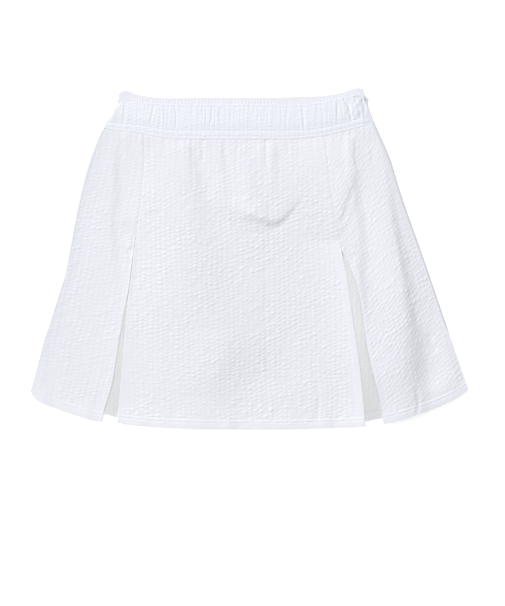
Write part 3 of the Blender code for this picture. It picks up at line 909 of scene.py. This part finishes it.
def frontLayer(look, leftX, rightX, hemLine, weaveAt):
    # the shown side and the hidden side of one panel of the front layer, and its crests
    topLine = lambda x: bandLowY(x) - look["seamGap"]
    length = (meeting(leftX, topLine) - meeting(leftX, hemLine)) / 2
    length += (meeting(rightX, topLine) - meeting(rightX, hemLine)) / 2
    across = edgedShares(look["columns"], float(rightX(0.0) - leftX(0.0)))
    down = edgedShares(look["rows"], length)
    xy = patch(leftX, rightX, topLine, hemLine, across, down)
    x = xy[..., 0]
    y = xy[..., 1]
    wide = np.linalg.norm(xy[:, -1] - xy[:, 0], axis=1)[:, None]
    fromEdges = (across[None, :] * wide, (1 - across[None, :]) * wide)
    aboveHem = (1 - down[:, None]) * length + 0 * x
    belowBand = down[:, None] * length + 0 * x
    fromLeftSide, fromRightSide = fromOutline(x, y)
    fromSide = np.minimum(fromLeftSide, fromRightSide)
    noise = lambda u, v, cell, draw: softNoise(u, v, cell, look["seed"] + draw)

    base = frontRest + layers["cloth"] + foldHeight(x, y)
    atCorner = fading(fromSide, look["cornerReach"])
    base -= look["cornerDrop"] * ease((tuckStart - y) / look["cornerRun"]) * atCorner
    base -= look["hemDroop"] * fading(aboveHem, look["droopReach"])

    # the turned hem, held down by two rows of stitching
    step = look["hemStep"]
    hem = ease((look["hemDepth"] + step / 2 - aboveHem) / step)
    fine = look["hemExtra"] * hem
    hemWave = look["hemWave"] * noise(x, aboveHem, (13.0, 40.0), 5)
    fine += hemWave * ease(1 - aboveHem / look["hemWaveReach"])
    for line in look["stitchLines"]:
        fine -= look["stitchDip"] * groove(aboveHem - line, look["stitchWidth"])

    # small folds below the band
    reach, varied = look["rippleReach"]
    reach = reach + varied * noise(x, 0 * x, 9.0, 6)
    ripple = noise(x, y, (3.6, 60.0), 7) + 0.5 * noise(x, y, (1.9, 30.0), 8)
    fine += look["ripple"] * ripple * np.exp(-belowBand / reach)
    fine -= creaseDepth(x, y, creases)

    # seams and free edges
    pucker = panelPucker(look, x, y, hem)
    underlayTop = np.zeros(x.shape)
    doubledAndPaintedLight = np.zeros(x.shape)
    hugged = np.zeros(x.shape)
    for slit, distance in zip(look["slits"], fromEdges):
        seam = np.ones(x.shape)
        dip = look["sideDip"]
        if slit:
            seam = ease((y - look["slitTop"]) / look["slitStart"] + 0.5)
            dip = look["seamDip"]
        pull = look["seamPull"] * noise(y, distance, (2.1, 9.0), 10)
        pull = pull * np.exp(-distance / look["pullReach"])
        fine -= seam * (dip * groove(distance, look["seamReach"]) + pull)
        if slit:
            free = 1 - seam
            pastTurn = distance - slit["turn"]
            turned = ease(1 - pastTurn / 2.0)
            pucker *= 1 - free * (1 - look["turnPucker"]) * turned
            beside = groove(pastTurn - 0.6, look["turnGrooveWidth"])
            fine += free * (look["turnRise"] * turned - look["turnGroove"] * beside)
            fine -= free * rounded(distance, look["edgeRound"])
            belowTop = look["slitTop"] + look["slitStart"] - y
            sinking = slit["sink"] * ease(belowTop / look["sinkRun"])
            base -= sinking * fading(distance - 0.5 * slit["turn"], look["sinkReach"])
            # the cloth along a slit painted paler: partly the doubled cloth, mostly painted light, and
            # painted shade where the share is negative
            doubledAndPaintedLight += slit["pale"] * free * fading(distance, look["paleReach"])
            reach, ending = look["underlayReach"]
            onUnderlay = free * fading(pastTurn - reach, ending)
            underlayTop = np.maximum(underlayTop, onUnderlay * slit["onto"])
            if slit["hug"]:
                opened = ease((slit["opens"] - y) / look["openRun"])
                hugged = np.maximum(hugged, opened * fading(distance, slit["hug"]))
        pucker *= ease(distance / look["seamCalm"])
    fine -= look["bandDip"] * groove(belowBand, look["bandDipWidth"])
    fine -= rounded(aboveHem, look["hemRound"])
    pucker *= ease(belowBand / look["endCalm"]) * ease(aboveHem / look["endCalm"])

    crinkle = noise(x, y, (3.4, 2.0), 11) + 0.6 * noise(x, y, (6.0, 3.0), 12)
    blister = puckers(*weaveAt(x, y), look["weave"])
    shown = base + fine + pucker * (blister - 0.5 + look["crinkle"] * crinkle)
    edgeTop = underlayTop + look["edgeStep"]
    resting = np.maximum(shown, edgeTop) * (1 - hugged) + edgeTop * hugged
    shown = np.where(underlayTop > 1, resting, shown)
    hidden = base - layers["wall"] - look["backDrop"]
    hidden = np.maximum(hidden, underlayTop + look["airGap"])
    over = np.dstack([x, y, shown])
    under = np.dstack([x, y, np.minimum(hidden, shown - look["leastWall"])])

    # painted shade in the blisters' hollows, painted light along the slits and above the hem, and
    # painted shade beside the outline
    crest = 0.5 + (blister - 0.5) * pucker / look["puckerHeight"] + doubledAndPaintedLight
    crest += look["hemPale"] * fading(aboveHem - look["hemPaleStart"], look["hemPaleReach"])
    rim = look["rim"]
    crest -= rim["left"] * fading(fromLeftSide, rim["reach"])
    crest -= rim["right"] * fading(fromRightSide, rim["reach"])
    crest -= rim["wide"] * fading(fromSide, rim["wideReach"])
    return over, under, crest, {"over": over, "across": across, "down": down, "length": length}


def buildPanel(node, own, leftX, rightX, hemLine, weaveAt):
    look = {**panelLook, **own}
    over, under, crest, grid = frontLayer(look, leftX, rightX, lineY(hemLine), weaveAt)
    cloth = clothShell(node + "_cloth", over, under, 4, finishes["seersucker"], crest)
    return settle(cloth, node), grid


seamSink = {"from": -72.0, "over": 26.0}


def sunk(y):
    # the side seam reaches the outline in the last stretch above the hem,
    # as the back's edge sinks under the front
    return ease((seamSink["from"] - y) / seamSink["over"])


def stripAt(y):
    return (stripWidth(y) - layers["sideGap"] + layers["seamAir"]) * (1 - sunk(y))


def leanOut(lean, y):
    # how much further into the slit a free edge reaches, low down
    return lean["by"] * ease((lean["from"] - y) / lean["over"])


def tiltedRows(table):
    # how far a row of blisters has climbed at x, from its slope at a few places
    samples = 200
    x = np.linspace(table["x"][0], table["x"][-1], samples)
    slope = through(table["x"], table["slope"])(x)
    climbed = np.concatenate([[0], np.cumsum((slope[1:] + slope[:-1]) / 2 * np.diff(x))])
    return lambda place: np.interp(place, x, climbed)


print("front panel")

frontPanel = {
    "columns": 228,
    "rows": 380,
    "seed": 100,
    # the slits at its left and its right edge: the width of the turned edge, how far it sinks,
    # the height of the underlay that it lies on, the last stretch down to that underlay,
    # where the slit opens, and how much paler the cloth beside it is painted:
    # partly the doubled cloth, mostly painted light, and painted shade where the share is negative
    "slits": (
        {"turn": 3.5, "sink": 0.5, "onto": 4.0, "hug": 1.1, "opens": -38.0, "pale": 0.3},
        {"turn": 8.5, "sink": 0.2, "onto": 4.4, "hug": 0.9, "opens": 6.0, "pale": 1.6},
    ),
    "slitTop": 20.0,
    "slitLean": {"by": 0.9, "from": -4.0, "over": 30.0},
    "sinkReach": 44.0,
    "hemPale": 0.9,
    "hemPaleReach": 44.0,
    "puckerShare": 0.9,
    "rowSlope": {
        "x": (-165, -90, -45, -5, 22, 45, 75, 105, 150),
        "slope": (0.0, 0.06, 0.2, 0.36, 0.56, 0.42, 0.26, 0.14, 0.06),
    },
    "weave": {
        "width": 6.1,
        "pitch": 4.8,
        "reach": 0.68,
        "drift": 1.8,
        "driftAcross": 31.0,
        "driftAlong": 23.0,
        "loose": 0.2,
        "slip": 0.5,
        "slipLength": 9.5,
        "tilt": -0.05,
        "skew": 0.5,
        "plump": 0.75,
        "size": 0.75,
        "uneven": 0.62,
        "seed": 20,
    },
    "flat": (0.315, 0.375),  # the cut, in metres
    "area": 0.104,
}
frontRows = tiltedRows(frontPanel["rowSlope"])
frontCloth, frontGrid = buildPanel(
    "front_panel",
    frontPanel,
    lambda y: frontLeft(y) + panelLook["seamGap"] / 2,
    lambda y: frontRight(y) - panelLook["seamGap"] / 2 + leanOut(frontPanel["slitLean"], y),
    frontHem,
    lambda x, y: (x + 0.02 * y, y - frontRows(x)),
)

print("side panels")

leftPanel = {
    "columns": 96,
    "rows": 372,
    "seed": 200,
    "slits": (
        None,  # its left edge is the side seam
        {"turn": 2.2, "sink": 0.4, "onto": 4.0, "hug": 1.4, "opens": -38.0, "pale": 0.9},
    ),
    "slitTop": 26.0,
    "slitLean": {"by": 0.9, "from": -50.0, "over": 40.0},
    "sinkReach": 38.0,
    "hemPale": 0.5,
    "hemPaleReach": 24.0,
    "puckerShare": 0.66,
    "rowSlope": {"x": (-265, -220, -180, -125), "slope": (-0.24, -0.12, 0.0, 0.1)},
    "weave": {**frontPanel["weave"], "width": 6.8, "pitch": 4.3, "reach": 0.74, "seed": 40},
    "flat": (0.095, 0.37),
    "area": 0.0295,
}
leftRows = tiltedRows(leftPanel["rowSlope"])
leftCloth, leftGrid = buildPanel(
    "side_panel_left",
    leftPanel,
    lambda y: leftOutlineX(y) + stripAt(y),
    lambda y: sideLeftInner(y) - panelLook["seamGap"] / 2 + leanOut(leftPanel["slitLean"], y),
    sideLeftHem,
    lambda x, y: (x - 0.2 * y, y - leftRows(x)),
)

rightPanel = {
    "columns": 116,
    "rows": 372,
    "seed": 300,
    "slits": ({"turn": 1.6, "sink": 0.3, "onto": 4.1, "hug": None, "pale": -0.6}, None),
    "slitTop": 10.0,
    "slitLean": {"by": 0.8, "from": -60.0, "over": 40.0},
    "sinkReach": 10.0,
    "hemPale": 0.3,
    "hemPaleReach": 20.0,
    "puckerShare": 0.9,
    "lean": math.radians(57.0),  # the rows climb steeply to the right
    "weave": {
        **frontPanel["weave"], "width": 5.6, "pitch": 3.9, "reach": 0.72, "tilt": 0.1, "seed": 60
    },
    "flat": (0.11, 0.37),
    "area": 0.0345,
}
leanSin = math.sin(rightPanel["lean"])
leanCos = math.cos(rightPanel["lean"])
rightCloth, rightGrid = buildPanel(
    "side_panel_right",
    rightPanel,
    lambda y: sideRightInner(y) + panelLook["seamGap"] / 2 - leanOut(rightPanel["slitLean"], y),
    lambda y: rightOutlineX(y) - stripAt(y),
    sideRightHem,
    lambda x, y: (x + 0.3 * y, y * leanCos - x * leanSin),
)

print("underlays")

underlayLook = {
    "columns": 56,
    "rows": 200,
    "width": 50.0,
    "length": 210.0,
    "overlap": 9.0,
    "topRise": 16.0,
    "sag": 0.15,
    "liftRun": 16.0,  # length in which it comes up behind the slit
    "pucker": 0.26,
    "rowSlope": 0.1,
    "paleAt": (0, -80, -120, -150, -200),  # heights for the pale shares below: painted shade, darker towards the hem
    "stitchLine": 8.0,
    "stitchDip": 0.25,
    "stitchWidth": 0.7,
    "hemRound": 0.5,
    "weave": {
        **frontPanel["weave"], "width": 5.2, "pitch": 3.9, "drift": 1.2, "skew": 0.3, "seed": 80
    },
}
underlays = (
    {
        "node": "pleat_underlay_left",
        "between": (sideLeftInner, frontLeft),
        "slitTop": leftSeam["y"][-1],
        "hem": leftUnderlayHem,
        "lift": (1.05, 1.0),  # of its left and its right side
        # painted shade: how pale it is at the paleAt heights, darker towards the hem
        "pale": (0.4, 0.4, 0.4, 0.35, 0.3),
        "flat": (0.045, 0.236),
        "area": 0.0072,
    },
    {
        "node": "pleat_underlay_right",
        "between": (frontRight, sideRightInner),
        "slitTop": rightSeam["y"][-1],
        "hem": rightUnderlayHem,
        "lift": (1.45, 1.1),
        "pale": (0.9, 0.85, 0.65, 0.3, 0.0),
        "flat": (0.045, 0.228),
        "area": 0.0078,
    },
)


def buildUnderlay(own):
    look = underlayLook
    leftX, rightX = own["between"]
    across = edgedShares(look["columns"], look["width"])
    down = edgedShares(look["rows"], look["length"])
    xy = patch(
        lambda y: leftX(y) - look["overlap"],
        lambda y: rightX(y) + look["overlap"],
        lambda x: own["slitTop"] + look["topRise"] + 0 * x,
        lineY(own["hem"]),
        across,
        down,
    )
    x = xy[..., 0]
    y = xy[..., 1]
    aboveHem = (1 - down[:, None]) * look["length"] + 0 * x
    base = layers["cloth"] + layers["gap"] + layers["underlay"] + 0 * x
    base -= look["sag"] * softNoise(x, y, (9.0, 30.0), look["weave"]["seed"] + 9) ** 2
    shownShare = (x - leftX(y)) / np.maximum(rightX(y) - leftX(y), 0.5)
    low, high = own["lift"]
    below = own["slitTop"] + panelLook["slitStart"] - y
    base += ease(below / look["liftRun"]) * (low + (high - low) * ease(shownShare))
    blister = puckers(x, y - look["rowSlope"] * x, look["weave"])
    pucker = look["pucker"] * ease(aboveHem / 2.0)
    fine = pucker * (blister - 1.0) - rounded(aboveHem, look["hemRound"])
    fine = fine - look["stitchDip"] * groove(aboveHem - look["stitchLine"], look["stitchWidth"])
    over = np.dstack([x, y, base + fine])
    under = np.dstack([x, y, np.full(x.shape, layers["cloth"] + layers["gap"] * 0.6)])
    # painted shade, darker towards the hem and in the blisters' hollows
    crest = through(look["paleAt"], own["pale"])(y) + 0.15 * (blister - 0.5)
    piece = clothShell(own["node"] + "_cloth", over, under, 4, finishes["underlay_cloth"], crest)
    settle(piece, own["node"])


for own in underlays:
    buildUnderlay(own)

print("waistband")

bandLook = {
    "columns": 560,
    "rows": 52,
    "width": 290.0,
    "depth": 42.0,
    "closeRows": (0, 0.2, 0.6, 1.2),  # along both edges
    "middle": 172.0,  # height of its middle line
    "gathers": 62,
    "gathersFrom": -180.0,  # where the first one could lie, and how far they go from there
    "gathersOver": 340.0,
    "gatherHeight": 0.31,
    "fineGathers": 0.13,
    "share": (0, 0.06, 0.3, 0.58, 0.72, 0.78, 1),
    "wall": (2.3, 2.35, 2.4, 2.25, 1.8, 1.75, 1.5),
    "gather": (0.7, 0.9, 1.0, 0.9, 0.55, 0.35, 0.3),
    "lean": 0.3,  # of the gathers at both ends
    "leanEnds": (-172.0, 148.0),
    "leanReach": 26.0,
    "stitchRows": (0.755, 0.915),
    "stitchDip": 0.34,
    "stitchWidth": 0.7,
    "creaseEnd": 0.8,  # share of the way down
    "topRound": 0.5,
    "topGroove": {"at": 3.2, "depth": 0.22, "width": 0.8},  # under the rolled upper edge
    "lowDip": {"depth": 0.3, "width": 1.1},
    "endDip": {"depth": 0.2, "width": 1.4},
    "crumple": {"from": 96.0, "over": 30.0, "depth": 0.35},  # of its right part
    "pucker": 0.24,
    "scallop": 0.35,
    "endFall": 1.4,  # of its right end, towards the side
    "endFallReach": 11.0,
    # painted shade at its ends and along its top edge
    "endShade": {"by": 0.6, "reach": 14.0},
    "topShade": {"by": 0.5, "reach": 2.5},
    "weave": {
        **frontPanel["weave"], "width": 5.6, "pitch": 4.2, "drift": 1.0, "skew": 0.3, "seed": 90
    },
    "flat": (0.36, 0.044),
    "area": 0.0152,
}
bandCreases = creaseList(
    ((-88.5, 186), (-87, 160), 0.5, 1.1),
    ((-44, 182), (-45, 165), 0.35, 1.1),
    ((-114, 183), (-118, 163), 0.3, 1.1),
    ((63, 182), (66, 158), 0.45, 1.2),
    ((118, 186), (122, 170), 0.8, 1.6),
    ((122, 170), (128, 156), 0.6, 1.5),
    ((113, 192), (117, 186), 0.7, 1.6),
    ((131, 184), (134, 168), 0.55, 1.4),
    ((136, 191), (140, 181), 1.0, 1.6),
    ((126, 194), (129, 186), 0.7, 1.3),
    ((106, 186), (107, 170), 0.5, 1.2),
)


def unevenSteps(count, spread, seed):
    steps = 1 + np.random.default_rng(seed).uniform(-spread, spread, count)
    return np.r_[0, np.cumsum(steps)] / steps.sum()


gatherLook = {
    "spread": 0.6,  # of the steps between them
    "shift": 0.0035,  # to and fro on their way down, as a share of the band's width
    "shallowest": 0.12,
    "widths": (0.14, 0.3),
    "whole": 0.75,  # how deep a valley stays on its way down, and how much that varies
    "broken": 0.5,
}


def gatherValleys(s, v, count, seed):
    # narrow valleys between flat crests, from 0 to 1:
    # uneven in place, depth and width, and broken on their way down
    look = gatherLook
    places = unevenSteps(count, look["spread"], seed)
    shift = look["shift"] * softNoise(s * 30, v * 2.5, 1.0, seed + 1)
    q = np.interp(s + shift, places, np.arange(count + 1))
    nearest = np.round(q).astype(int)
    rng = np.random.default_rng(seed + 2)
    low = look["shallowest"]
    depth = (low + (1 - low) * rng.uniform(0, 1, count + 1) ** 1.6)[nearest]
    width = rng.uniform(*look["widths"], count + 1)[nearest]
    broken = look["whole"] + look["broken"] * softNoise(nearest * 3.1, v * 3.3, 1.0, seed + 3)
    broken = np.clip(broken, 0, 1)
    return depth * broken * groove(q - nearest, width)


def frontBand():
    look = bandLook
    inset = lambda y: stripWidth(y) - layers["sideGap"] + layers["seamAir"]
    across = edgedShares(look["columns"], look["width"])
    down = edgedShares(look["rows"], look["depth"], near=look["closeRows"])
    xy = patch(
        lambda y: leftOutlineX(y) + inset(y),
        lambda y: rightOutlineX(y) - inset(y),
        bandTopY,
        bandLowY,
        across,
        down,
    )
    u, v = spreadOut(across, down)
    x = xy[..., 0]
    y = xy[..., 1]
    fromTop = v * look["depth"]
    fromLow = (1 - v) * look["depth"]
    fromEnd = np.minimum(u, 1 - u) * look["width"]

    # the gathers stand upright in the middle and lean over at both ends
    leftEnd, rightEnd = look["leanEnds"]
    lean = np.exp(-(x - leftEnd) / look["leanReach"]) - np.exp((x - rightEnd) / look["leanReach"])
    upright = x - look["lean"] * lean * (y - look["middle"])
    s = (upright - look["gathersFrom"]) / look["gathersOver"]
    valley = gatherValleys(s, v, look["gathers"], 7)
    fineValley = softNoise(upright, y, (1.3, 14.0), 71)
    gather = through(look["share"], look["gather"])(v)
    fine = gather * (look["fineGathers"] * fineValley - look["gatherHeight"] * valley)
    fine -= creaseDepth(x, y, bandCreases) * ease((look["creaseEnd"] - v) / 0.1)
    for line in look["stitchRows"]:
        fine -= look["stitchDip"] * groove((v - line) * look["depth"], look["stitchWidth"])

    # its edges and ends
    fine -= rounded(fromTop, look["topRound"])
    top = look["topGroove"]
    broken = 0.6 + 0.6 * softNoise(x, 0 * x, 1.6, 72)
    fine -= top["depth"] * groove(fromTop - top["at"], top["width"]) * broken
    fine -= look["lowDip"]["depth"] * groove(fromLow, look["lowDip"]["width"])
    fine -= look["endDip"]["depth"] * groove(fromEnd, look["endDip"]["width"])
    base = frontRest + through(look["share"], look["wall"])(v)
    base = base - look["endFall"] * fading((1 - u) * look["width"], look["endFallReach"])
    crumple = look["crumple"]
    crumpled = ease((x - crumple["from"]) / crumple["over"]) * ease((look["creaseEnd"] - v) / 0.12)
    fine += crumple["depth"] * crumpled * softNoise(x, y, (3.0, 6.0), 73)
    blister = puckers(x, y, look["weave"])
    pucker = look["pucker"] * (blister - 0.5)
    fine += pucker * ease(fromTop / 2) * ease(fromLow / 2) * ease(fromEnd / 2)
    y = y - look["scallop"] * (valley - 0.3) * ease(1 - fromTop / 5) * ease(fromEnd / 4)
    over = np.dstack([x, y, base + fine])
    under = np.dstack([x, y, np.full(x.shape, frontRest)])

    # painted shade in the gather valleys and the blisters' hollows, at both ends and along the top edge
    crest = 0.6 - 0.5 * valley * gather + 0.25 * (blister - 0.5)
    crest = crest - look["endShade"]["by"] * fading(fromEnd, look["endShade"]["reach"])
    crest = crest - look["topShade"]["by"] * fading(fromTop, look["topShade"]["reach"])
    crest = np.clip(crest, 0, 1)
    piece = clothShell("waistband_front_cloth", over, under, 4, finishes["band_cloth"], crest)
    return piece, {"over": over, "across": across, "down": down}


bandCloth, bandGrid = frontBand()
settle(bandCloth, "waistband_front")

backTurn = {
    "tuck": 6.0,  # of both edges, in under the front
    "tuckRun": 28.0,
    "sunkRadius": 0.58,  # share of the roll that is gone where the seam has sunk
}


def backLayer(topLine, lowLine, across, down, turn, dent, rise, rolls, opened=lambda y: 0 * y):
    # a back piece, flat on the surface, with both sides turned up and over to the side seams
    # dent lifts the outer face and rise the inner face, both rows x columns
    # opened is 1 where the sides lie flat, out to the outline
    # returns the outer and the inner face, and the number of turned columns at each side
    tuck = lambda y: backTurn["tuck"] * ease((tuckStart - y) / backTurn["tuckRun"])
    radius = lambda y: rollRadius * (1 - backTurn["sunkRadius"] * sunk(y))
    half = layers["cloth"] / 2
    flat = patch(
        lambda y: leftOutlineX(y) + (radius(y) + half) * (1 - opened(y)) + tuck(y),
        lambda y: rightOutlineX(y) - (radius(y) + half) * (1 - opened(y)) - tuck(y),
        topLine,
        lowLine,
        across,
        down,
    )
    arc = np.linspace(0, 1, rolls + 1)[1:]
    middleRows = []
    normalRows = []
    for points, rowTurn in zip(flat, turn):
        angles = math.pi * rowTurn * arc
        lean = np.r_[angles, angles[-1], angles[-1]]
        sides = []
        facings = []
        for edge, neighbour in ((points[0], points[1]), (points[-1], points[-2])):
            outward = (edge - neighbour) / np.linalg.norm(edge - neighbour)
            strip = (stripWidth(edge[1]) - rollReach - layers["sideGap"]) * rowTurn
            reach = radius(edge[1]) * np.sin(lean)
            lift = radius(edge[1]) * (1 - np.cos(lean))
            for place, share in ((-2, 0.55), (-1, 1.0)):
                reach[place] += strip * share * math.cos(angles[-1])
                lift[place] += strip * share * math.sin(angles[-1])
            sides.append(np.column_stack([edge + reach[:, None] * outward, half + lift]))
            facings.append(np.column_stack([np.sin(lean)[:, None] * outward, -np.cos(lean)]))
        middle = np.column_stack([points, np.full(len(points), half)])
        downwards = np.tile([0.0, 0.0, -1.0], (len(points), 1))
        middleRows.append(np.vstack([sides[0][::-1], middle, sides[1]]))
        normalRows.append(np.vstack([facings[0][::-1], downwards, facings[1]]))
    middle = np.array(middleRows)
    facing = np.array(normalRows)
    turned = rolls + 2
    outer = middle + facing * half
    inner = outer - facing * layers["wall"]
    outer[:, turned:-turned, 2] += dent
    inner[:, turned:-turned, 2] += rise
    return outer, inner, turned


print("back")

backPanel = {
    "columns": 300,
    "rows": 220,
    "rolls": 9,
    "top": 180.0,
    "length": 345.0,
    "waist": 290.0,
    "flare": 230.0,  # how much wider it is at the hem
    "hemWidth": 500.0,
    "seamDrop": 1.5,  # of its upper edge, below the band's
    "bandBow": 9.0,  # how far the back of the band reaches below the front of it
    "turnEnd": (0.87, 0.09),  # where the sides stop turning up, and over how long; shares of the way
    "pucker": 0.3,
    "leastWall": 0.35,
    "highest": 1.45,
    "turnedCrest": 0.55,
    "troughs": (  # places across at the hem, and shares of the way down
        {"x": -150.0, "from": 0.05, "to": 0.7, "height": 0.75, "width": 9.0},
        {"x": -70.0, "from": 0.0, "to": 0.45, "height": 0.7, "width": 7.0},
        {"x": -20.0, "from": 0.3, "to": 1.05, "height": 0.6, "width": 13.0},
        {"x": 60.0, "from": 0.0, "to": 0.5, "height": 0.8, "width": 8.0},
        {"x": 120.0, "from": 0.35, "to": 1.1, "height": 0.7, "width": 12.0},
        {"x": 185.0, "from": 0.2, "to": 0.9, "height": 0.6, "width": 10.0},
    ),
    "weave": {**frontPanel["weave"], "seed": 120},
    "flat": (0.535, 0.365),
    "area": 0.165,
}


def backBandLow(x):
    start = bandLowLine["x"][0]
    end = bandLowLine["x"][-1]
    bow = np.sin(math.pi * np.clip((x - start) / (end - start), 0, 1))
    return bandLowY(x) + backPanel["bandBow"] * bow


def buildBackPanel():
    look = backPanel
    across = np.linspace(0, 1, look["columns"] - 2 * (look["rolls"] + 2) + 1)
    down = edgedShares(look["rows"], look["length"])
    start, run = look["turnEnd"]
    turn = fading(down - start, run)
    topLine = lambda x: backBandLow(x) - look["seamDrop"]
    u, v = spreadOut(across, down)
    spread = look["waist"] + look["flare"] * v  # the width of the back at this level
    x = (u - 0.5) * spread
    blister = puckers(x, look["top"] - look["length"] * v, look["weave"])
    fromEnds = np.minimum(v, 1 - v) * look["length"]
    fromEdge = np.minimum(np.minimum(u, 1 - u) * spread, fromEnds)
    dent = look["pucker"] * (1 - blister) * ease(fromEdge / 3)
    for trough in look["troughs"]:  # soft ones, where the cloth arches off the surface
        along = ease((v - trough["from"]) / 0.12) * ease((trough["to"] - v) / 0.15)
        aside = x - trough["x"] * spread / look["hemWidth"]
        dent += trough["height"] * along * hump(aside, trough["width"])
    dent *= ease(fromEdge / 6)
    outer, inner, turned = backLayer(
        topLine, lineY(backHem), across, down, turn, dent, 0 * dent, look["rolls"]
    )
    flat = slice(turned, -turned)
    inner[:, flat, 2] = np.maximum(inner[:, flat, 2], outer[:, flat, 2] + look["leastWall"])
    inner[:, flat, 2] = np.minimum(inner[:, flat, 2], look["highest"])
    # painted shade in the blisters' hollows; the turned sides take one even value
    crest = np.pad(blister, ((0, 0), (turned, turned)), constant_values=look["turnedCrest"])
    return clothShell("back_panel_cloth", outer, inner, 4, finishes["back_cloth_painted_shade"], crest)


backCloth = settle(buildBackPanel(), "back_panel")

backBand = {
    "columns": 620,
    "rows": 40,
    "rolls": 9,
    "depth": 42.0,
    "closeRows": (0, 0.2, 0.6, 1.2),
    "ribs": 75,
    "ribHeight": 0.32,
    "ribSize": (0.7, 1.1),  # from the lowest to the highest rib
    "ribSeed": 33,
    "share": (0, 0.05, 0.34, 0.67, 1),
    "rib": (0.15, 0.4, 1, 0.7, 0.3),
    "topRound": 1.0,
    "gathers": 55,  # of the outside, which lies on the surface
    "gatherHeight": 0.45,
    "openTop": 0.05,  # the sides are hardly turned at the very top
    "openOut": 0.9,  # and reach this far out to the outline there
    "opening": (0.2, 0.32),  # shares of the way down between which they turn over
    "flat": (0.36, 0.046),
    "area": 0.0150,
}


def buildBackBand():
    look = backBand
    depth = look["depth"]
    across = np.linspace(0, 1, look["columns"] - 2 * (look["rolls"] + 2) + 1)
    down = edgedShares(look["rows"], depth, near=look["closeRows"])
    start, end = look["opening"]
    turn = look["openTop"] + (1 - look["openTop"]) * ease((down - start) / (end - start))
    top = backTopLine["y"][0]
    opened = lambda y: look["openOut"] * ease((y - top + end * depth) / ((end - start) * depth))
    u, v = spreadOut(across, down)
    places = unevenSteps(look["ribs"], 0.16, 31)
    q = np.interp(u, places, np.arange(look["ribs"] + 1))
    sizes = np.random.default_rng(look["ribSeed"]).uniform(*look["ribSize"], look["ribs"] + 2)
    rib = sizes[np.floor(q).astype(int)] * np.sin(math.pi * (q - np.floor(q))) ** 1.2
    fade = ease((u - 0.035) / 0.03) * ease((1 - u) / 0.02) * through(look["share"], look["rib"])(v)
    rise = layers["cloth"] - layers["wall"] + look["ribHeight"] * rib * fade
    rise = rise - 0.5 * rounded(v * depth, look["topRound"])
    gathers = look["gatherHeight"] * gatherValleys(u, v, look["gathers"], 9)
    dent = gathers * ease(np.minimum(u, 1 - u) / 0.02)
    dent = np.clip(dent, 0, look["gatherHeight"]) * ease(v * depth / 3) * ease((1 - v) * depth / 3)
    outer, inner, turned = backLayer(
        lineY(backTopLine), backBandLow, across, down, turn, dent, rise, look["rolls"], opened
    )
    # painted shade between the ribs and on the turned sides
    crest = np.pad(rib * fade, ((0, 0), (turned, turned)), constant_values=0.1)
    return clothShell("waistband_back_cloth", inner, outer, 1, finishes["band_inside"], crest)


backBandCloth = settle(buildBackBand(), "waistband_back")

print("stitching")

stitchLook = {
    "length": 1.9,
    "pitch": 2.7,
    "radius": 0.15,
    "sunk": 0.07,  # into the cloth
    "rowEnds": (0.012, 0.988),  # shares of the width
    "sides": 6,
    "rings": 4,
    "samples": 1500,  # along a row
}


def onGrid(grid, u, v):
    # points of the shown side at these shares across and down
    over = grid["over"]
    column = np.interp(u, grid["across"], np.arange(len(grid["across"])))
    row = np.interp(v, grid["down"], np.arange(len(grid["down"])))
    i = np.clip(np.floor(row).astype(int), 0, over.shape[0] - 2)
    j = np.clip(np.floor(column).astype(int), 0, over.shape[1] - 2)
    fi = (row - i)[:, None]
    fj = (column - j)[:, None]
    near = mixed(over[i, j], over[i, j + 1], fj)
    far = mixed(over[i + 1, j], over[i + 1, j + 1], fj)
    return mixed(near, far, fi)


def sewRow(bm, grid, share):
    look = stitchLook
    u = np.linspace(*look["rowEnds"], look["samples"])
    line = onGrid(grid, u, np.full(len(u), share)) + frameShift
    run = np.r_[0, np.cumsum(np.linalg.norm(np.diff(line[:, :2], axis=0), axis=1))]
    half = look["length"] / 2
    size = Matrix.Diagonal((half, look["radius"], look["radius"], 1))
    upright = Matrix.Rotation(math.pi / 2, 4, "Y")
    for centre in np.arange(look["pitch"], run[-1] - look["length"], look["pitch"]):
        ends = [
            Vector([np.interp(centre + offset, run, line[:, axis]) for axis in range(3)])
            for offset in (-half, half)
        ]
        middle = (ends[0] + ends[1]) / 2 + Vector((0, 0, -look["sunk"]))
        turn = (ends[1] - ends[0]).to_track_quat("X", "Z").to_matrix().to_4x4()
        bmesh.ops.create_uvsphere(
            bm,
            u_segments=look["sides"],
            v_segments=look["rings"],
            radius=1,
            matrix=Matrix.Scale(mm, 4) @ Matrix.Translation(middle) @ turn @ size @ upright,
        )


def stitching(name, grid, shares):
    bm = bmesh.new()
    for share in shares:
        sewRow(bm, grid, share)
    return settle(placed(name, meshFrom(bm, name, finishes["thread"])), None)


def hemStitching(name, grid):
    shares = [1 - line / grid["length"] for line in panelLook["stitchLines"]]
    return stitching(name, grid, shares)


frontHemThread = hemStitching("front_hem_stitching", frontGrid)
leftHemThread = hemStitching("side_left_hem_stitching", leftGrid)
rightHemThread = hemStitching("side_right_hem_stitching", rightGrid)
bandThread = stitching("waistband_stitching", bandGrid, bandLook["stitchRows"])

print("floor")

bm = bmesh.new()
bmesh.ops.create_grid(bm, x_segments=1, y_segments=1, size=floorLook["size"] / 2)
bmesh.ops.translate(bm, verts=bm.verts, vec=(0, 0, -floorLook["below"]))
floorMaterial, floorShader, _ = newFinish("floor")
sockets = {
    "Base Color": (*floorLook["colour"], 1),
    "Roughness": floorLook["roughness"],
    "Emission Color": (1, 1, 1, 1),
    "Emission Strength": floorLook["glow"],
}
plug(floorShader, sockets)
placed("floor", meshFrom(bm, "floor", floorMaterial))
